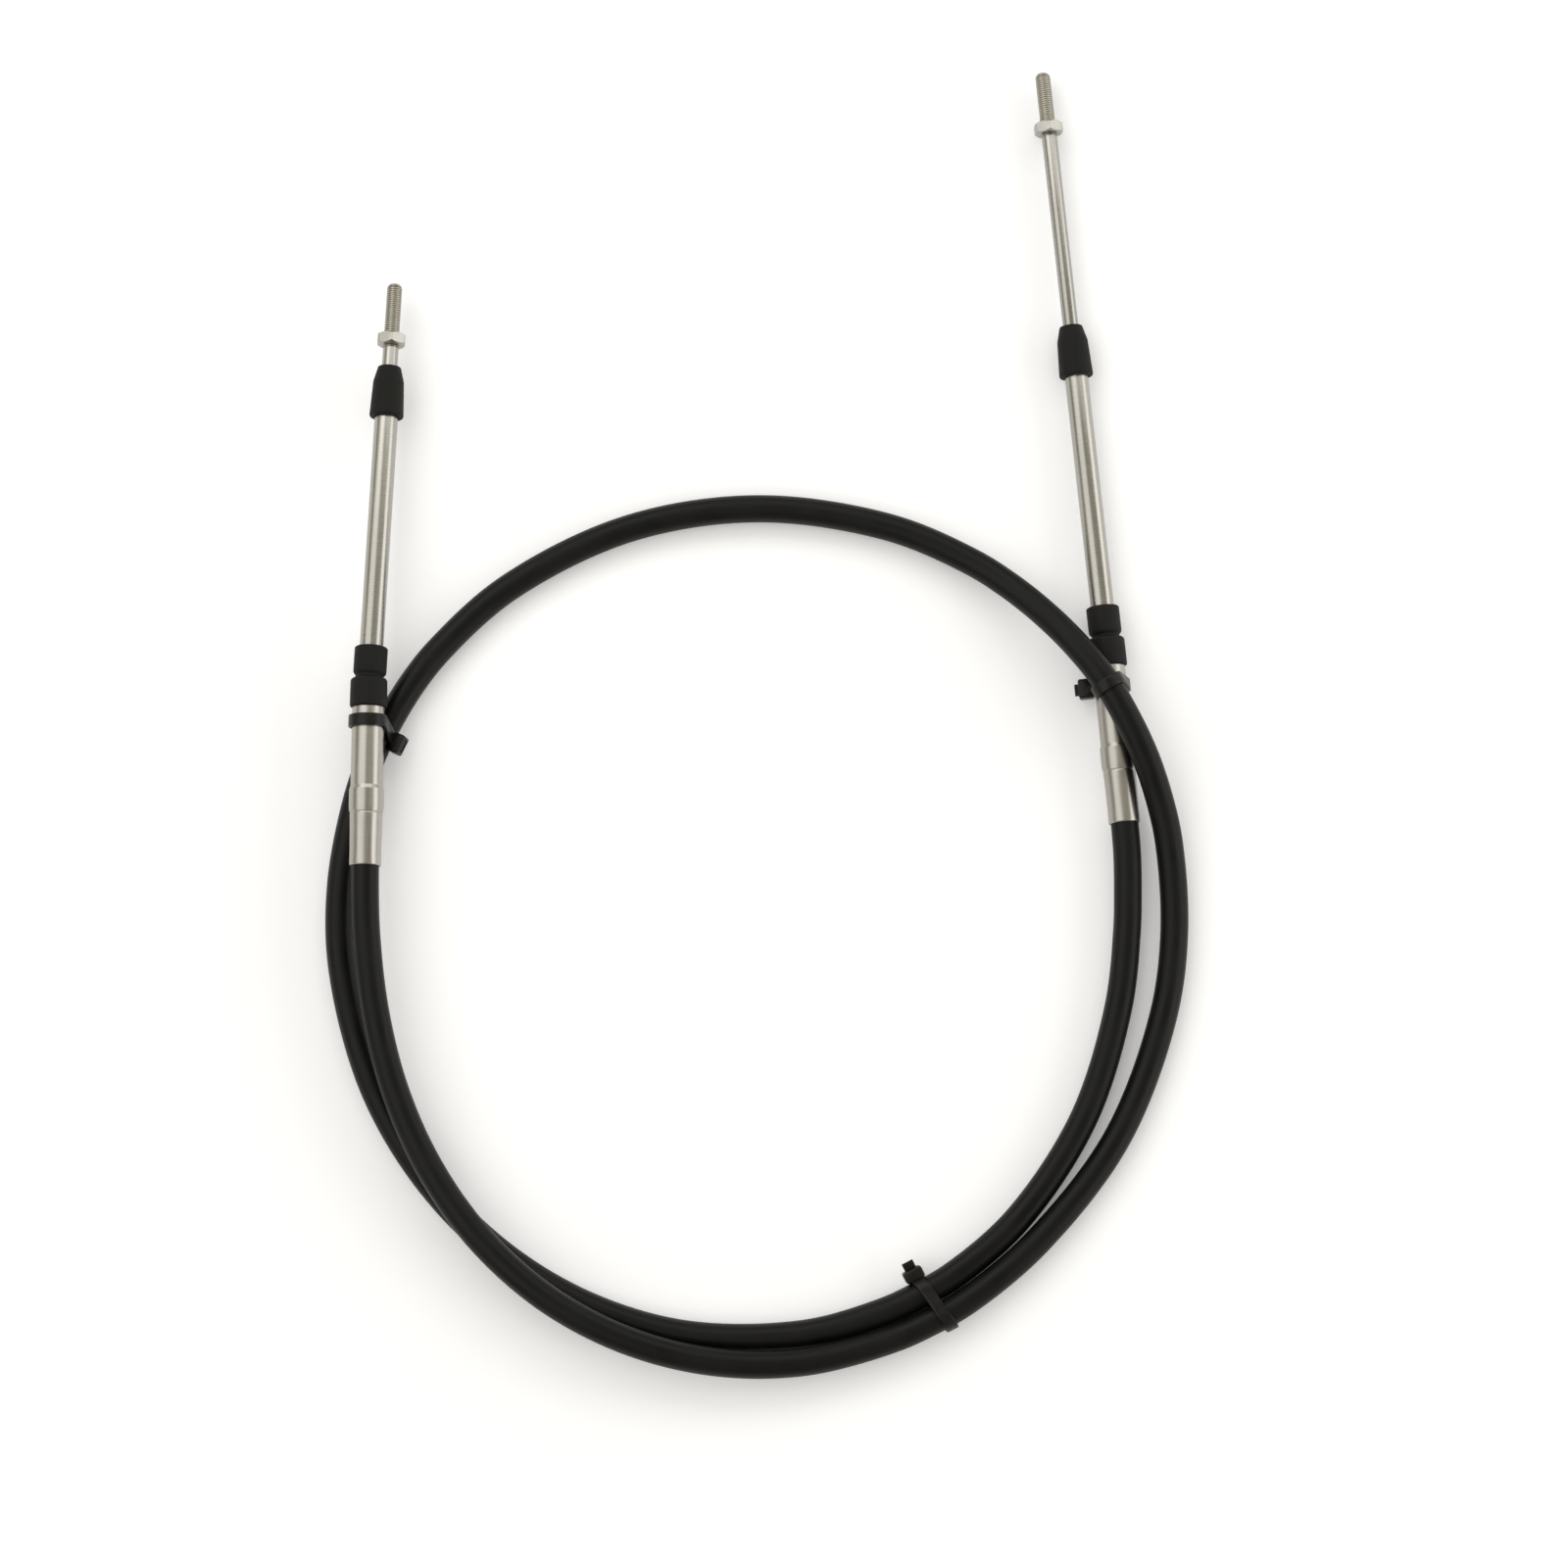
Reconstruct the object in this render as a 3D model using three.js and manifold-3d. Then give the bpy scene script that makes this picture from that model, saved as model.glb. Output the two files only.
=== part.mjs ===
// Boat steering cable: a jacketed push-pull cable laid in one and a half turns, held by three ties.
// Each end has a crimped hub, a ball-jointed support tube, two rubber seals, a sliding rod and a nut.
// Millimetres, +Z up, lying on z = 0, with the origin below the middle of the ends and the ties.

import * as THREE from 'three';
import { mergeVertices } from 'three/addons/utils/BufferGeometryUtils.js';
import Module from 'manifold-3d';

const wasm = await Module();
wasm.setup();

// Clearances
const TOUCH_GAP = 0.3; // between two pieces that touch on the real cable
const RUNNING_GAP = 0.3; // radial, round the sliding rod and the ball

// Cable
const JACKET_RADIUS = 5.6;
const CABLE_SIDES = 10;
const CABLE_STEPS = 76;
const CORE_RADIUS = 1.6; // the hidden wire that the rods push and pull

// Rod, thread and nut
const ROD_RADIUS = 3.175;
const ROD_LENGTH = 145;
const THREAD_RADIUS = 3.1;
const THREAD_BEYOND_NUT = 21.4;
const THREAD_BEHIND_NUT = 0.8;
const TIP_CHAMFER = 1.0;
const TIP_CHAMFER_LENGTH = 1.6;
const NUT_ACROSS_FLATS = 11.11;
const NUT_THICKNESS = 4.8;
const ROD_OUT_WHEN_IN = 40.45; // from the support tube's end to the tip, rod fully in
const TRAVEL = 76.2; // 3 in
const SHORT_OF_STOP = 1.55; // each rod as drawn stands this far from the end of its travel

// Support tube
const TUBE_RADIUS = 4.765;
const TUBE_NECK_RADIUS = 2.9;
const TUBE_NECK_END = 6.0; // from the ball's centre
const TUBE_SHOULDER = 0.6;
const BALL_RADIUS = 4.2;
const ROD_BORE_START = 9.0;
const TUBE_LENGTH = 128.0; // from the ball's centre to the tube's open end

// Hub
const SOCKET_WALL = 1.0;
const SOCKET_LIP = 2.3; // how far the socket closes over the ball's middle
const SOCKET_FLARE = 0.6;
const HUB_RADIUS = 6.5;
const HUB_NECK_LENGTH = 8.1; // from the ball's centre back to the shoulder
const HUB_LENGTH = 72.5; // from the ball's centre back to the ferrule's end
const BAND_RADIUS = 7.0;
const BAND_START = 41.7;
const BAND_END = 50.3;
const BAND_CHAMFER = 1.6;
const BAND_TAPER = 2.4;
const FERRULE_RADIUS = 6.5;
const FERRULE_LIP = 0.35;
const CRIMP_DEPTH = 15.0; // how far the cable runs into the ferrule

// Swivel seal
const SWIVEL_LOWER_RADIUS = 7.45;
const SWIVEL_LOWER_TOP_RADIUS = 7.35;
const SWIVEL_UPPER_RADIUS = 6.6;
const SWIVEL_GROOVE_RADIUS = 5.6;
const SWIVEL_GROOVE_AT = 4.5; // from the ball's centre
const SWIVEL_GROOVE_WIDTH = 1.0;
const SWIVEL_GROOVE_SLOPE = 0.9;
const SWIVEL_THROAT_RADIUS = 3.9;
const SWIVEL_TOP = 16.6;
const SWIVEL_ROUNDING = 0.7;

// Wiper seal
const WIPER_GRIP = 14.5; // how much of the tube it covers
const WIPER_CONE = 6.2;
const WIPER_CAP = 0.3; // rubber between the tube's end and the cone
const WIPER_BOTTOM_RADIUS = 6.95;
const WIPER_SHOULDER_RADIUS = 6.2;
const WIPER_TOP_RADIUS = 4.7;

// Cable ties
const TIE_WIDTH = 4.8;
const TIE_THICKNESS = 1.2;
const TIE_HEAD_WIDTH = 7.7;
const TIE_HEAD_LENGTH = 5.8;
const TIE_HEAD_HEIGHT = 4.2; // above the strap's middle
const RIGHT_HEAD_HEIGHT = 5.5; // this one's strap stands off the hub a little
const TIE_HEAD_BELOW = 0.4; // how far the head reaches in below it
const TIE_HEAD_CHAMFER = 0.7;
const TIE_GAP = 0.5; // round what the strap holds
const LEFT_TIE_BACK = 13.9; // from the ball's centre back along the hub
const RIGHT_TIE_BACK = 16.3;
const TAIL_RIGHT = 1.6; // how far the cut tail stands out of the head
const TAIL_BOTTOM = 3.2;
const TAIL_CHAMFER = 0.1;
const BOTTOM_TIE_LEAN = -0.2; // how far its strap runs along the cable for each millimetre across

// Fineness of round shapes
const TURN_SIDES = 24;
const SEAL_SIDES = 20;
const BALL_STEPS = 7;
const TIE_ARC_STEPS = 10;
const TIE_SPAN_STEPS = 3;

// Where the two ends lie: the ball's centre, the way each end points, and the nut's turn
const HUB_OVER_CABLE = TIE_THICKNESS + TIE_GAP + 2 * JACKET_RADIUS + TOUCH_GAP + HUB_RADIUS;
const HUB_ON_TIE = TIE_THICKNESS + TIE_GAP + HUB_RADIUS;
const ENDS = {
  left: {
    ball: [-151.25, -0.6, HUB_OVER_CABLE],
    hubLean: 0.33,
    tubeLean: 2.47,
    tubeDroop: 3.0,
    rodTip: TUBE_LENGTH + ROD_OUT_WHEN_IN + SHORT_OF_STOP,
    nutTurn: 4,
  },
  right: {
    ball: [145.64, 18.3, HUB_ON_TIE],
    hubLean: -5.0,
    tubeLean: -5.6,
    tubeDroop: 0.3,
    rodTip: TUBE_LENGTH + ROD_OUT_WHEN_IN + TRAVEL - SHORT_OF_STOP,
    nutTurn: 9,
  },
};

// The cable's route from the left ferrule to the right one: x, y and the height of its underside
const ROUTE = [
  [-150.9, -99.0, 13.6], [-146.8, -131.5, 13.1], [-138.4, -163.1, 12.6], [-124.4, -193.5, 12.2],
  [-104.4, -221.1, 12.0], [-78.4, -244.1, 11.3], [-47.3, -260.4, 9.7], [-13.1, -268.9, 7.3],
  [22.7, -268.9, 5.0], [57.1, -260.0, 3.5], [73.2, -252.9, 3.3], [88.5, -244.0, 2.9],
  [115.4, -221.4, 1.8], [147.4, -180.4, 0.4], [166.4, -131.9, 0.2], [171.4, -97.2, 0.5],
  [169.6, -62.2, 3.2], [165.8, -45.1, 6.6], [160.1, -28.7, 11.4], [152.5, -12.9, 14.7],
  [143.5, 2.6, 15.5], [132.4, 17.4, 12.9], [119.9, 31.2, 8.4], [106.1, 43.5, 4.4],
  [90.9, 53.9, 1.9], [57.7, 68.5, 0.2], [4.4, 76.2, 0.2], [-48.6, 67.7, 0.2],
  [-96.5, 43.3, 0.3], [-123.1, 18.8, 0.8], [-134.2, 4.5, 1.4], [-143.4, -11.1, 1.7],
  [-151.0, -27.4, 1.6], [-156.6, -44.4, 1.1], [-162.5, -79.4, 0.3], [-161.0, -114.7, 0.2],
  [-146.0, -164.9, 0.2], [-116.9, -207.7, 0.2], [-76.6, -239.5, 0.2], [-28.9, -257.0, 0.2],
  [21.5, -257.9, 0.3], [53.6, -249.4, 1.4], [68.8, -242.5, 1.9], [83.0, -234.1, 1.4],
  [107.6, -212.6, 0.6], [134.2, -172.7, 0.4], [148.6, -128.1, 0.8], [152.4, -97.3, 1.5],
  [152.9, -81.7, 2.1], [152.8, -66.5, 2.3],
];

// Materials
function material(colour, roughness, metalness) {
  return new THREE.MeshStandardMaterial({ color: colour, roughness, metalness });
}

const jacketBlack = material(0x1d1d1b, 0.45, 0);
const sealBlack = material(0x2a2a27, 0.8, 0);
const nylonBlack = material(0x1b1b19, 0.5, 0);
const stainless = material(0xb8b2a4, 0.35, 1);
const platedSteel = material(0xcfcbc0, 0.3, 1);

// Solids: a turned profile of [distance along +Z, radius] points, closed on itself or on the axis
function turned(profile, sides) {
  const points = profile.map(([along, radius]) => new THREE.Vector2(radius, along));
  return new THREE.LatheGeometry(points, sides).rotateX(Math.PI / 2);
}

function ring(profile, sides) {
  return turned([...profile, profile[0]], sides);
}

// A part of a sphere's outline between two distances along its axis
function sphereArc(radius, from, to, steps) {
  const start = Math.asin(from / radius);
  const end = Math.asin(to / radius);
  return Array.from({ length: steps + 1 }, (_, i) => {
    const angle = start + ((end - start) * i) / steps;
    return [radius * Math.sin(angle), radius * Math.cos(angle)];
  });
}

function bare(geometry) {
  const copy = (geometry.index ? geometry.toNonIndexed() : geometry.clone());
  for (const name of ['normal', 'uv', 'color']) copy.deleteAttribute(name);
  return mergeVertices(copy, 1e-4);
}

function solid(geometry) {
  const merged = bare(geometry);
  return new wasm.Manifold(new wasm.Mesh({
    numProp: 3,
    vertProperties: Float32Array.from(merged.attributes.position.array),
    triVerts: Uint32Array.from(merged.index.array),
  }));
}

function meshOf(manifold) {
  const { vertProperties, triVerts } = manifold.getMesh();
  const geometry = new THREE.BufferGeometry();
  geometry.setAttribute('position', new THREE.BufferAttribute(vertProperties, 3));
  geometry.setIndex(new THREE.BufferAttribute(triVerts, 1));
  geometry.computeVertexNormals();
  return geometry;
}

// Hub: socket for the ball, neck, body, raised band, and the ferrule crimped over the cable
function hubGeometry() {
  const socketRadius = BALL_RADIUS + RUNNING_GAP;
  const neckRadius = socketRadius + SOCKET_WALL;
  const mouthRadius = Math.sqrt(socketRadius ** 2 - SOCKET_LIP ** 2);
  const socketBottom = -Math.sqrt(socketRadius ** 2 - CORE_RADIUS ** 2);
  const boreRadius = JACKET_RADIUS + TOUCH_GAP;
  const boreBottom = CRIMP_DEPTH + TOUCH_GAP - HUB_LENGTH;
  return ring([
    [boreBottom, CORE_RADIUS],
    [boreBottom, boreRadius],
    [-HUB_LENGTH, boreRadius],
    [-HUB_LENGTH, FERRULE_RADIUS - FERRULE_LIP],
    [-HUB_LENGTH + FERRULE_LIP, FERRULE_RADIUS],
    [-BAND_END - BAND_TAPER, FERRULE_RADIUS],
    [-BAND_END, BAND_RADIUS],
    [-BAND_START, BAND_RADIUS],
    [-BAND_START + BAND_CHAMFER, HUB_RADIUS],
    [-HUB_NECK_LENGTH, HUB_RADIUS],
    [-HUB_NECK_LENGTH, neckRadius],
    [SOCKET_LIP + SOCKET_FLARE, neckRadius],
    [SOCKET_LIP + SOCKET_FLARE, mouthRadius + SOCKET_FLARE / 2],
    ...sphereArc(socketRadius, SOCKET_LIP, socketBottom, BALL_STEPS),
  ], TURN_SIDES);
}

// Support tube: a ball bored for the wire, a neck and a tube bored for the rod
function supportTubeGeometry() {
  const rodBore = ROD_RADIUS + RUNNING_GAP;
  const ballBack = -Math.sqrt(BALL_RADIUS ** 2 - CORE_RADIUS ** 2);
  const ballFront = Math.sqrt(BALL_RADIUS ** 2 - TUBE_NECK_RADIUS ** 2);
  return ring([
    [ROD_BORE_START, CORE_RADIUS],
    ...sphereArc(BALL_RADIUS, ballBack, ballFront, BALL_STEPS),
    [TUBE_NECK_END, TUBE_NECK_RADIUS],
    [TUBE_NECK_END + TUBE_SHOULDER, TUBE_RADIUS],
    [TUBE_LENGTH, TUBE_RADIUS],
    [TUBE_LENGTH, rodBore],
    [ROD_BORE_START, rodBore],
  ], SEAL_SIDES);
}

// Wiper seal: a flaring rubber sleeve over the tube's end, with a cone down to the rod
function wiperGeometry() {
  const overTube = TUBE_RADIUS + TOUCH_GAP;
  const overRod = ROD_RADIUS + RUNNING_GAP;
  const bottom = TUBE_LENGTH - WIPER_GRIP;
  const seat = TUBE_LENGTH + TOUCH_GAP;
  const shoulder = TUBE_LENGTH + WIPER_CAP;
  const top = shoulder + WIPER_CONE;
  return ring([
    [bottom, overTube],
    [bottom, WIPER_BOTTOM_RADIUS],
    [shoulder, WIPER_SHOULDER_RADIUS],
    [top, WIPER_TOP_RADIUS],
    [top, overRod],
    [seat, overRod],
    [seat, overTube],
  ], SEAL_SIDES);
}

// Swivel seal: two rubber bulges over the hub's neck and the tube, with a flexible groove between.
// It follows the hub below the groove and the tube above it, so it bends with the ball joint.
function swivelGeometry(tubeTurn) {
  const overNeck = BALL_RADIUS + RUNNING_GAP + SOCKET_WALL + TOUCH_GAP;
  const overTube = TUBE_RADIUS + TOUCH_GAP;
  const bottom = -HUB_NECK_LENGTH + TOUCH_GAP;
  const grooveLow = SWIVEL_GROOVE_AT - SWIVEL_GROOVE_WIDTH / 2;
  const grooveHigh = SWIVEL_GROOVE_AT + SWIVEL_GROOVE_WIDTH / 2;
  const neckTop = SOCKET_LIP + SOCKET_FLARE + TOUCH_GAP;
  const tubeStart = TUBE_NECK_END + TUBE_SHOULDER - TOUCH_GAP;
  const geometry = ring([
    [bottom, overNeck],
    [bottom, SWIVEL_LOWER_RADIUS - SWIVEL_ROUNDING],
    [bottom + SWIVEL_ROUNDING, SWIVEL_LOWER_RADIUS],
    [grooveLow - SWIVEL_GROOVE_SLOPE, SWIVEL_LOWER_TOP_RADIUS],
    [grooveLow, SWIVEL_GROOVE_RADIUS],
    [grooveHigh, SWIVEL_GROOVE_RADIUS],
    [grooveHigh + SWIVEL_GROOVE_SLOPE, SWIVEL_UPPER_RADIUS - SWIVEL_ROUNDING / 2],
    [grooveHigh + 2 * SWIVEL_GROOVE_SLOPE, SWIVEL_UPPER_RADIUS],
    [SWIVEL_TOP - SWIVEL_ROUNDING, SWIVEL_UPPER_RADIUS],
    [SWIVEL_TOP, SWIVEL_UPPER_RADIUS - SWIVEL_ROUNDING],
    [SWIVEL_TOP, overTube],
    [tubeStart, overTube],
    [grooveHigh, SWIVEL_THROAT_RADIUS],
    [neckTop, SWIVEL_THROAT_RADIUS],
    [neckTop, overNeck],
  ], SEAL_SIDES);
  const still = new THREE.Quaternion();
  const turn = new THREE.Quaternion();
  const point = new THREE.Vector3();
  const position = geometry.attributes.position;
  for (let i = 0; i < position.count; i += 1) {
    point.fromBufferAttribute(position, i);
    const share = THREE.MathUtils.clamp((point.z - grooveLow) / (grooveHigh - grooveLow), 0, 1);
    turn.slerpQuaternions(still, tubeTurn, share);
    point.applyQuaternion(turn);
    position.setXYZ(i, point.x, point.y, point.z);
  }
  return geometry;
}

// Rod: plain bar with a threaded outer end, its tip at z = 0
function rodGeometry() {
  const threadStart = -(THREAD_BEYOND_NUT + NUT_THICKNESS + THREAD_BEHIND_NUT);
  return turned([
    [-ROD_LENGTH, 0],
    [-ROD_LENGTH, ROD_RADIUS],
    [threadStart, ROD_RADIUS],
    [threadStart, THREAD_RADIUS],
    [-TIP_CHAMFER_LENGTH, THREAD_RADIUS],
    [0, THREAD_RADIUS - TIP_CHAMFER],
    [0, 0],
  ], SEAL_SIDES);
}

// Nut: a hexagon with its corners turned down at both ends, bored for the thread
function nutGeometry() {
  const corner = NUT_ACROSS_FLATS / Math.sqrt(3);
  const faceRadius = NUT_ACROSS_FLATS / 2;
  const cornerDrop = (corner - faceRadius) / 2;
  const outline = new THREE.Shape();
  for (let i = 0; i < 6; i += 1) {
    const angle = (Math.PI / 3) * i;
    const place = [corner * Math.cos(angle), corner * Math.sin(angle)];
    if (i === 0) outline.moveTo(...place);
    else outline.lineTo(...place);
  }
  outline.closePath();
  outline.holes.push(new THREE.Path().absarc(0, 0, THREAD_RADIUS + TOUCH_GAP, 0, 2 * Math.PI, true));
  const hexagon = new THREE.ExtrudeGeometry(outline, {
    depth: NUT_THICKNESS, bevelEnabled: false, curveSegments: SEAL_SIDES / 2,
  });
  const turnedBlank = turned([
    [0, 0],
    [0, faceRadius],
    [cornerDrop, corner],
    [NUT_THICKNESS - cornerDrop, corner],
    [NUT_THICKNESS, faceRadius],
    [NUT_THICKNESS, 0],
  ], TURN_SIDES);
  return meshOf(solid(hexagon).intersect(solid(turnedBlank)));
}

// Cable: a ten-sided tube along the route, with both ends inside the ferrules
function hubAxis(end) {
  const lean = THREE.MathUtils.degToRad(end.hubLean);
  return new THREE.Vector3(Math.sin(lean), Math.cos(lean), 0);
}

function onHub(end, back) {
  return new THREE.Vector3(...end.ball).addScaledVector(hubAxis(end), -back);
}

function cableCurve() {
  const inside = HUB_LENGTH - CRIMP_DEPTH;
  const between = ROUTE.map(([x, y, underside]) => new THREE.Vector3(x, y, underside + JACKET_RADIUS));
  return new THREE.CatmullRomCurve3([
    onHub(ENDS.left, inside),
    onHub(ENDS.left, HUB_LENGTH),
    ...between,
    onHub(ENDS.right, HUB_LENGTH),
    onHub(ENDS.right, inside),
  ], false, 'centripetal');
}

function cableGeometry(curve) {
  const section = new THREE.Shape();
  for (let i = 0; i < CABLE_SIDES; i += 1) {
    const angle = (2 * Math.PI * i) / CABLE_SIDES;
    const place = [JACKET_RADIUS * Math.cos(angle), JACKET_RADIUS * Math.sin(angle)];
    if (i === 0) section.moveTo(...place);
    else section.lineTo(...place);
  }
  section.closePath();
  return new THREE.ExtrudeGeometry(section, { steps: CABLE_STEPS, extrudePath: curve });
}

// The place on the drawn cable nearest to a place on the floor, with its direction there
function cableAt(curve, x, y) {
  const joints = curve.getSpacedPoints(CABLE_STEPS);
  const target = new THREE.Vector3(x, y, 0);
  let best = { distance: Infinity };
  for (let i = 0; i < CABLE_STEPS; i += 1) {
    const chord = new THREE.Line3(joints[i], joints[i + 1]);
    const flat = new THREE.Line3(joints[i].clone().setZ(0), joints[i + 1].clone().setZ(0));
    const share = flat.closestPointToPointParameter(target, true);
    const distance = flat.at(share, new THREE.Vector3()).distanceTo(target);
    if (distance < best.distance) {
      const centre = chord.at(share, new THREE.Vector3());
      best = { distance, centre, axis: chord.delta(new THREE.Vector3()).normalize() };
    }
  }
  return { centre: best.centre, axis: best.axis, radius: JACKET_RADIUS };
}

// One side of a tie's loop: where its middle runs round a rod or cable, square to that one's axis
function wrap(around, outward) {
  const reach = around.radius + TIE_GAP + TIE_THICKNESS / 2;
  const normal = outward.clone().addScaledVector(around.axis, -outward.dot(around.axis)).normalize();
  return { point: around.centre.clone().addScaledVector(normal, reach), normal, side: around.axis };
}

// The stations of a tie's closed loop round two round things, from the near one to the far one
function tieStations(first, second, lean) {
  if (first.axis.dot(second.axis) < 0) second.axis.negate();
  const along = first.axis.clone().add(second.axis).normalize();
  const between = second.centre.clone().sub(first.centre);
  between.addScaledVector(along, -between.dot(along));
  const distance = between.length();
  const ahead = between.normalize();
  const across = new THREE.Vector3().crossVectors(along, ahead);
  const leave = Math.acos((first.radius - second.radius) / distance);
  const direction = (angle) => ahead.clone().multiplyScalar(Math.cos(angle))
    .addScaledVector(across, Math.sin(angle));
  const stations = [];
  const arc = (around, from, to) => {
    for (let i = 0; i <= TIE_ARC_STEPS; i += 1) {
      stations.push(wrap(around, direction(from + ((to - from) * i) / TIE_ARC_STEPS)));
    }
  };
  const span = (from, to) => {
    for (let i = 1; i < TIE_SPAN_STEPS; i += 1) {
      const share = i / TIE_SPAN_STEPS;
      stations.push({
        point: from.point.clone().lerp(to.point, share),
        normal: from.normal.clone().lerp(to.normal, share).normalize(),
        side: from.side.clone().lerp(to.side, share).normalize(),
      });
    }
  };
  arc(first, leave, 2 * Math.PI - leave);
  span(stations.at(-1), wrap(second, direction(-leave)));
  arc(second, -leave, leave);
  span(stations.at(-1), stations[0]);
  const middle = first.centre.clone().lerp(second.centre, 0.5);
  for (const { point } of stations) {
    point.addScaledVector(along, lean * point.clone().sub(middle).dot(ahead));
  }
  return stations;
}

// The strap: a flat band through the stations, closed on itself
function strapGeometry(stations) {
  const vertices = [];
  const corners = [[-1, -1], [1, -1], [1, 1], [-1, 1]];
  for (const { point, normal, side } of stations) {
    const sideways = side.clone().addScaledVector(normal, -side.dot(normal)).normalize();
    for (const [wide, out] of corners) {
      const corner = point.clone().addScaledVector(sideways, (wide * TIE_WIDTH) / 2)
        .addScaledVector(normal, (out * TIE_THICKNESS) / 2);
      vertices.push(corner.x, corner.y, corner.z);
    }
  }
  const faces = [];
  const count = stations.length;
  for (let i = 0; i < count; i += 1) {
    const here = 4 * i;
    const next = 4 * ((i + 1) % count);
    for (let k = 0; k < 4; k += 1) {
      const after = (k + 1) % 4;
      faces.push(here + k, next + after, next + k, here + k, here + after, next + after);
    }
  }
  const geometry = new THREE.BufferGeometry();
  geometry.setAttribute('position', new THREE.Float32BufferAttribute(vertices, 3));
  geometry.setIndex(faces);
  return geometry;
}

// A block with cut corners at a station of the strap, from below the strap's middle to a height above it
function blockOn(station, width, length, height, chamfer) {
  const halfWidth = width / 2;
  const halfLength = length / 2;
  const outline = new THREE.Shape([
    [halfWidth, chamfer - halfLength], [halfWidth, halfLength - chamfer],
    [halfWidth - chamfer, halfLength], [chamfer - halfWidth, halfLength],
    [-halfWidth, halfLength - chamfer], [-halfWidth, chamfer - halfLength],
    [chamfer - halfWidth, -halfLength], [halfWidth - chamfer, -halfLength],
  ].map(([x, y]) => new THREE.Vector2(x, y)));
  const block = new THREE.ExtrudeGeometry(outline, {
    depth: TIE_HEAD_BELOW + height, bevelEnabled: false,
  }).translate(0, 0, -TIE_HEAD_BELOW);
  const sideways = station.side.clone()
    .addScaledVector(station.normal, -station.side.dot(station.normal)).normalize();
  const lengthways = new THREE.Vector3().crossVectors(station.normal, sideways);
  const frame = new THREE.Matrix4().makeBasis(sideways, lengthways, station.normal);
  return block.applyMatrix4(frame.setPosition(station.point));
}

// Of two places that face the same way, a tie's head stands on the one nearer the second round thing
const NEARER_WINS = 0.002;

// A tie: strap, head and, where it was left, the cut tail that stands out of the head
function tieGeometry(first, second, headDirection, headHeight, tail, lean = 0) {
  const stations = tieStations(first, second, lean);
  const facing = headDirection.clone().normalize();
  const facingShare = (station) => station.normal.dot(facing)
    - NEARER_WINS * station.point.distanceTo(second.centre);
  const seat = stations.reduce(
    (best, station) => (facingShare(station) > facingShare(best) ? station : best),
  );
  let tie = solid(strapGeometry(stations))
    .add(solid(blockOn(seat, TIE_HEAD_WIDTH, TIE_HEAD_LENGTH, headHeight, TIE_HEAD_CHAMFER)));
  if (tail > 0) {
    tie = tie.add(solid(blockOn(seat, TIE_WIDTH, TIE_THICKNESS, headHeight + tail, TAIL_CHAMFER)));
  }
  return meshOf(tie);
}

// Assembly
const cable = new THREE.Group();

function place(name, geometry, surface, parent) {
  const mesh = new THREE.Mesh(geometry, surface);
  mesh.name = name;
  parent.add(mesh);
  return mesh;
}

function turnTo(lean, droop) {
  const direction = new THREE.Vector3(
    Math.sin(THREE.MathUtils.degToRad(lean)) * Math.cos(THREE.MathUtils.degToRad(droop)),
    Math.cos(THREE.MathUtils.degToRad(lean)) * Math.cos(THREE.MathUtils.degToRad(droop)),
    -Math.sin(THREE.MathUtils.degToRad(droop)),
  );
  return new THREE.Quaternion().setFromUnitVectors(new THREE.Vector3(0, 0, 1), direction);
}

for (const [side, end] of Object.entries(ENDS)) {
  const hubGroup = new THREE.Group();
  hubGroup.position.set(...end.ball);
  hubGroup.quaternion.copy(turnTo(end.hubLean, 0));
  cable.add(hubGroup);
  const tubeTurn = hubGroup.quaternion.clone().invert().multiply(turnTo(end.tubeLean, end.tubeDroop));
  place(`${side}_hub`, hubGeometry(), stainless, hubGroup);
  place(`${side}_swivel_seal`, swivelGeometry(tubeTurn), sealBlack, hubGroup);

  const tubeGroup = new THREE.Group();
  tubeGroup.quaternion.copy(tubeTurn);
  hubGroup.add(tubeGroup);
  place(`${side}_support_tube`, supportTubeGeometry(), stainless, tubeGroup);
  place(`${side}_wiper_seal`, wiperGeometry(), sealBlack, tubeGroup);

  const rodGroup = new THREE.Group();
  rodGroup.position.z = end.rodTip;
  tubeGroup.add(rodGroup);
  place(`${side}_rod`, rodGeometry(), stainless, rodGroup);
  const nut = place(`${side}_jam_nut`, nutGeometry(), platedSteel, rodGroup);
  nut.position.z = -THREAD_BEYOND_NUT - NUT_THICKNESS;
  nut.rotation.z = THREE.MathUtils.degToRad(90 + end.nutTurn);
}

const curve = cableCurve();
place('conduit', cableGeometry(curve), jacketBlack, cable);

function hubAt(end, back) {
  return { centre: onHub(end, back), axis: hubAxis(end), radius: HUB_RADIUS };
}

// The way each tie's head faces
const LEFT_HEAD = new THREE.Vector3(0.9, -0.4, 0.3);
const RIGHT_HEAD = new THREE.Vector3(-1, -0.09, 0);
const BOTTOM_HEAD = new THREE.Vector3(-0.4, 0.9, 0.1);

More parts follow.
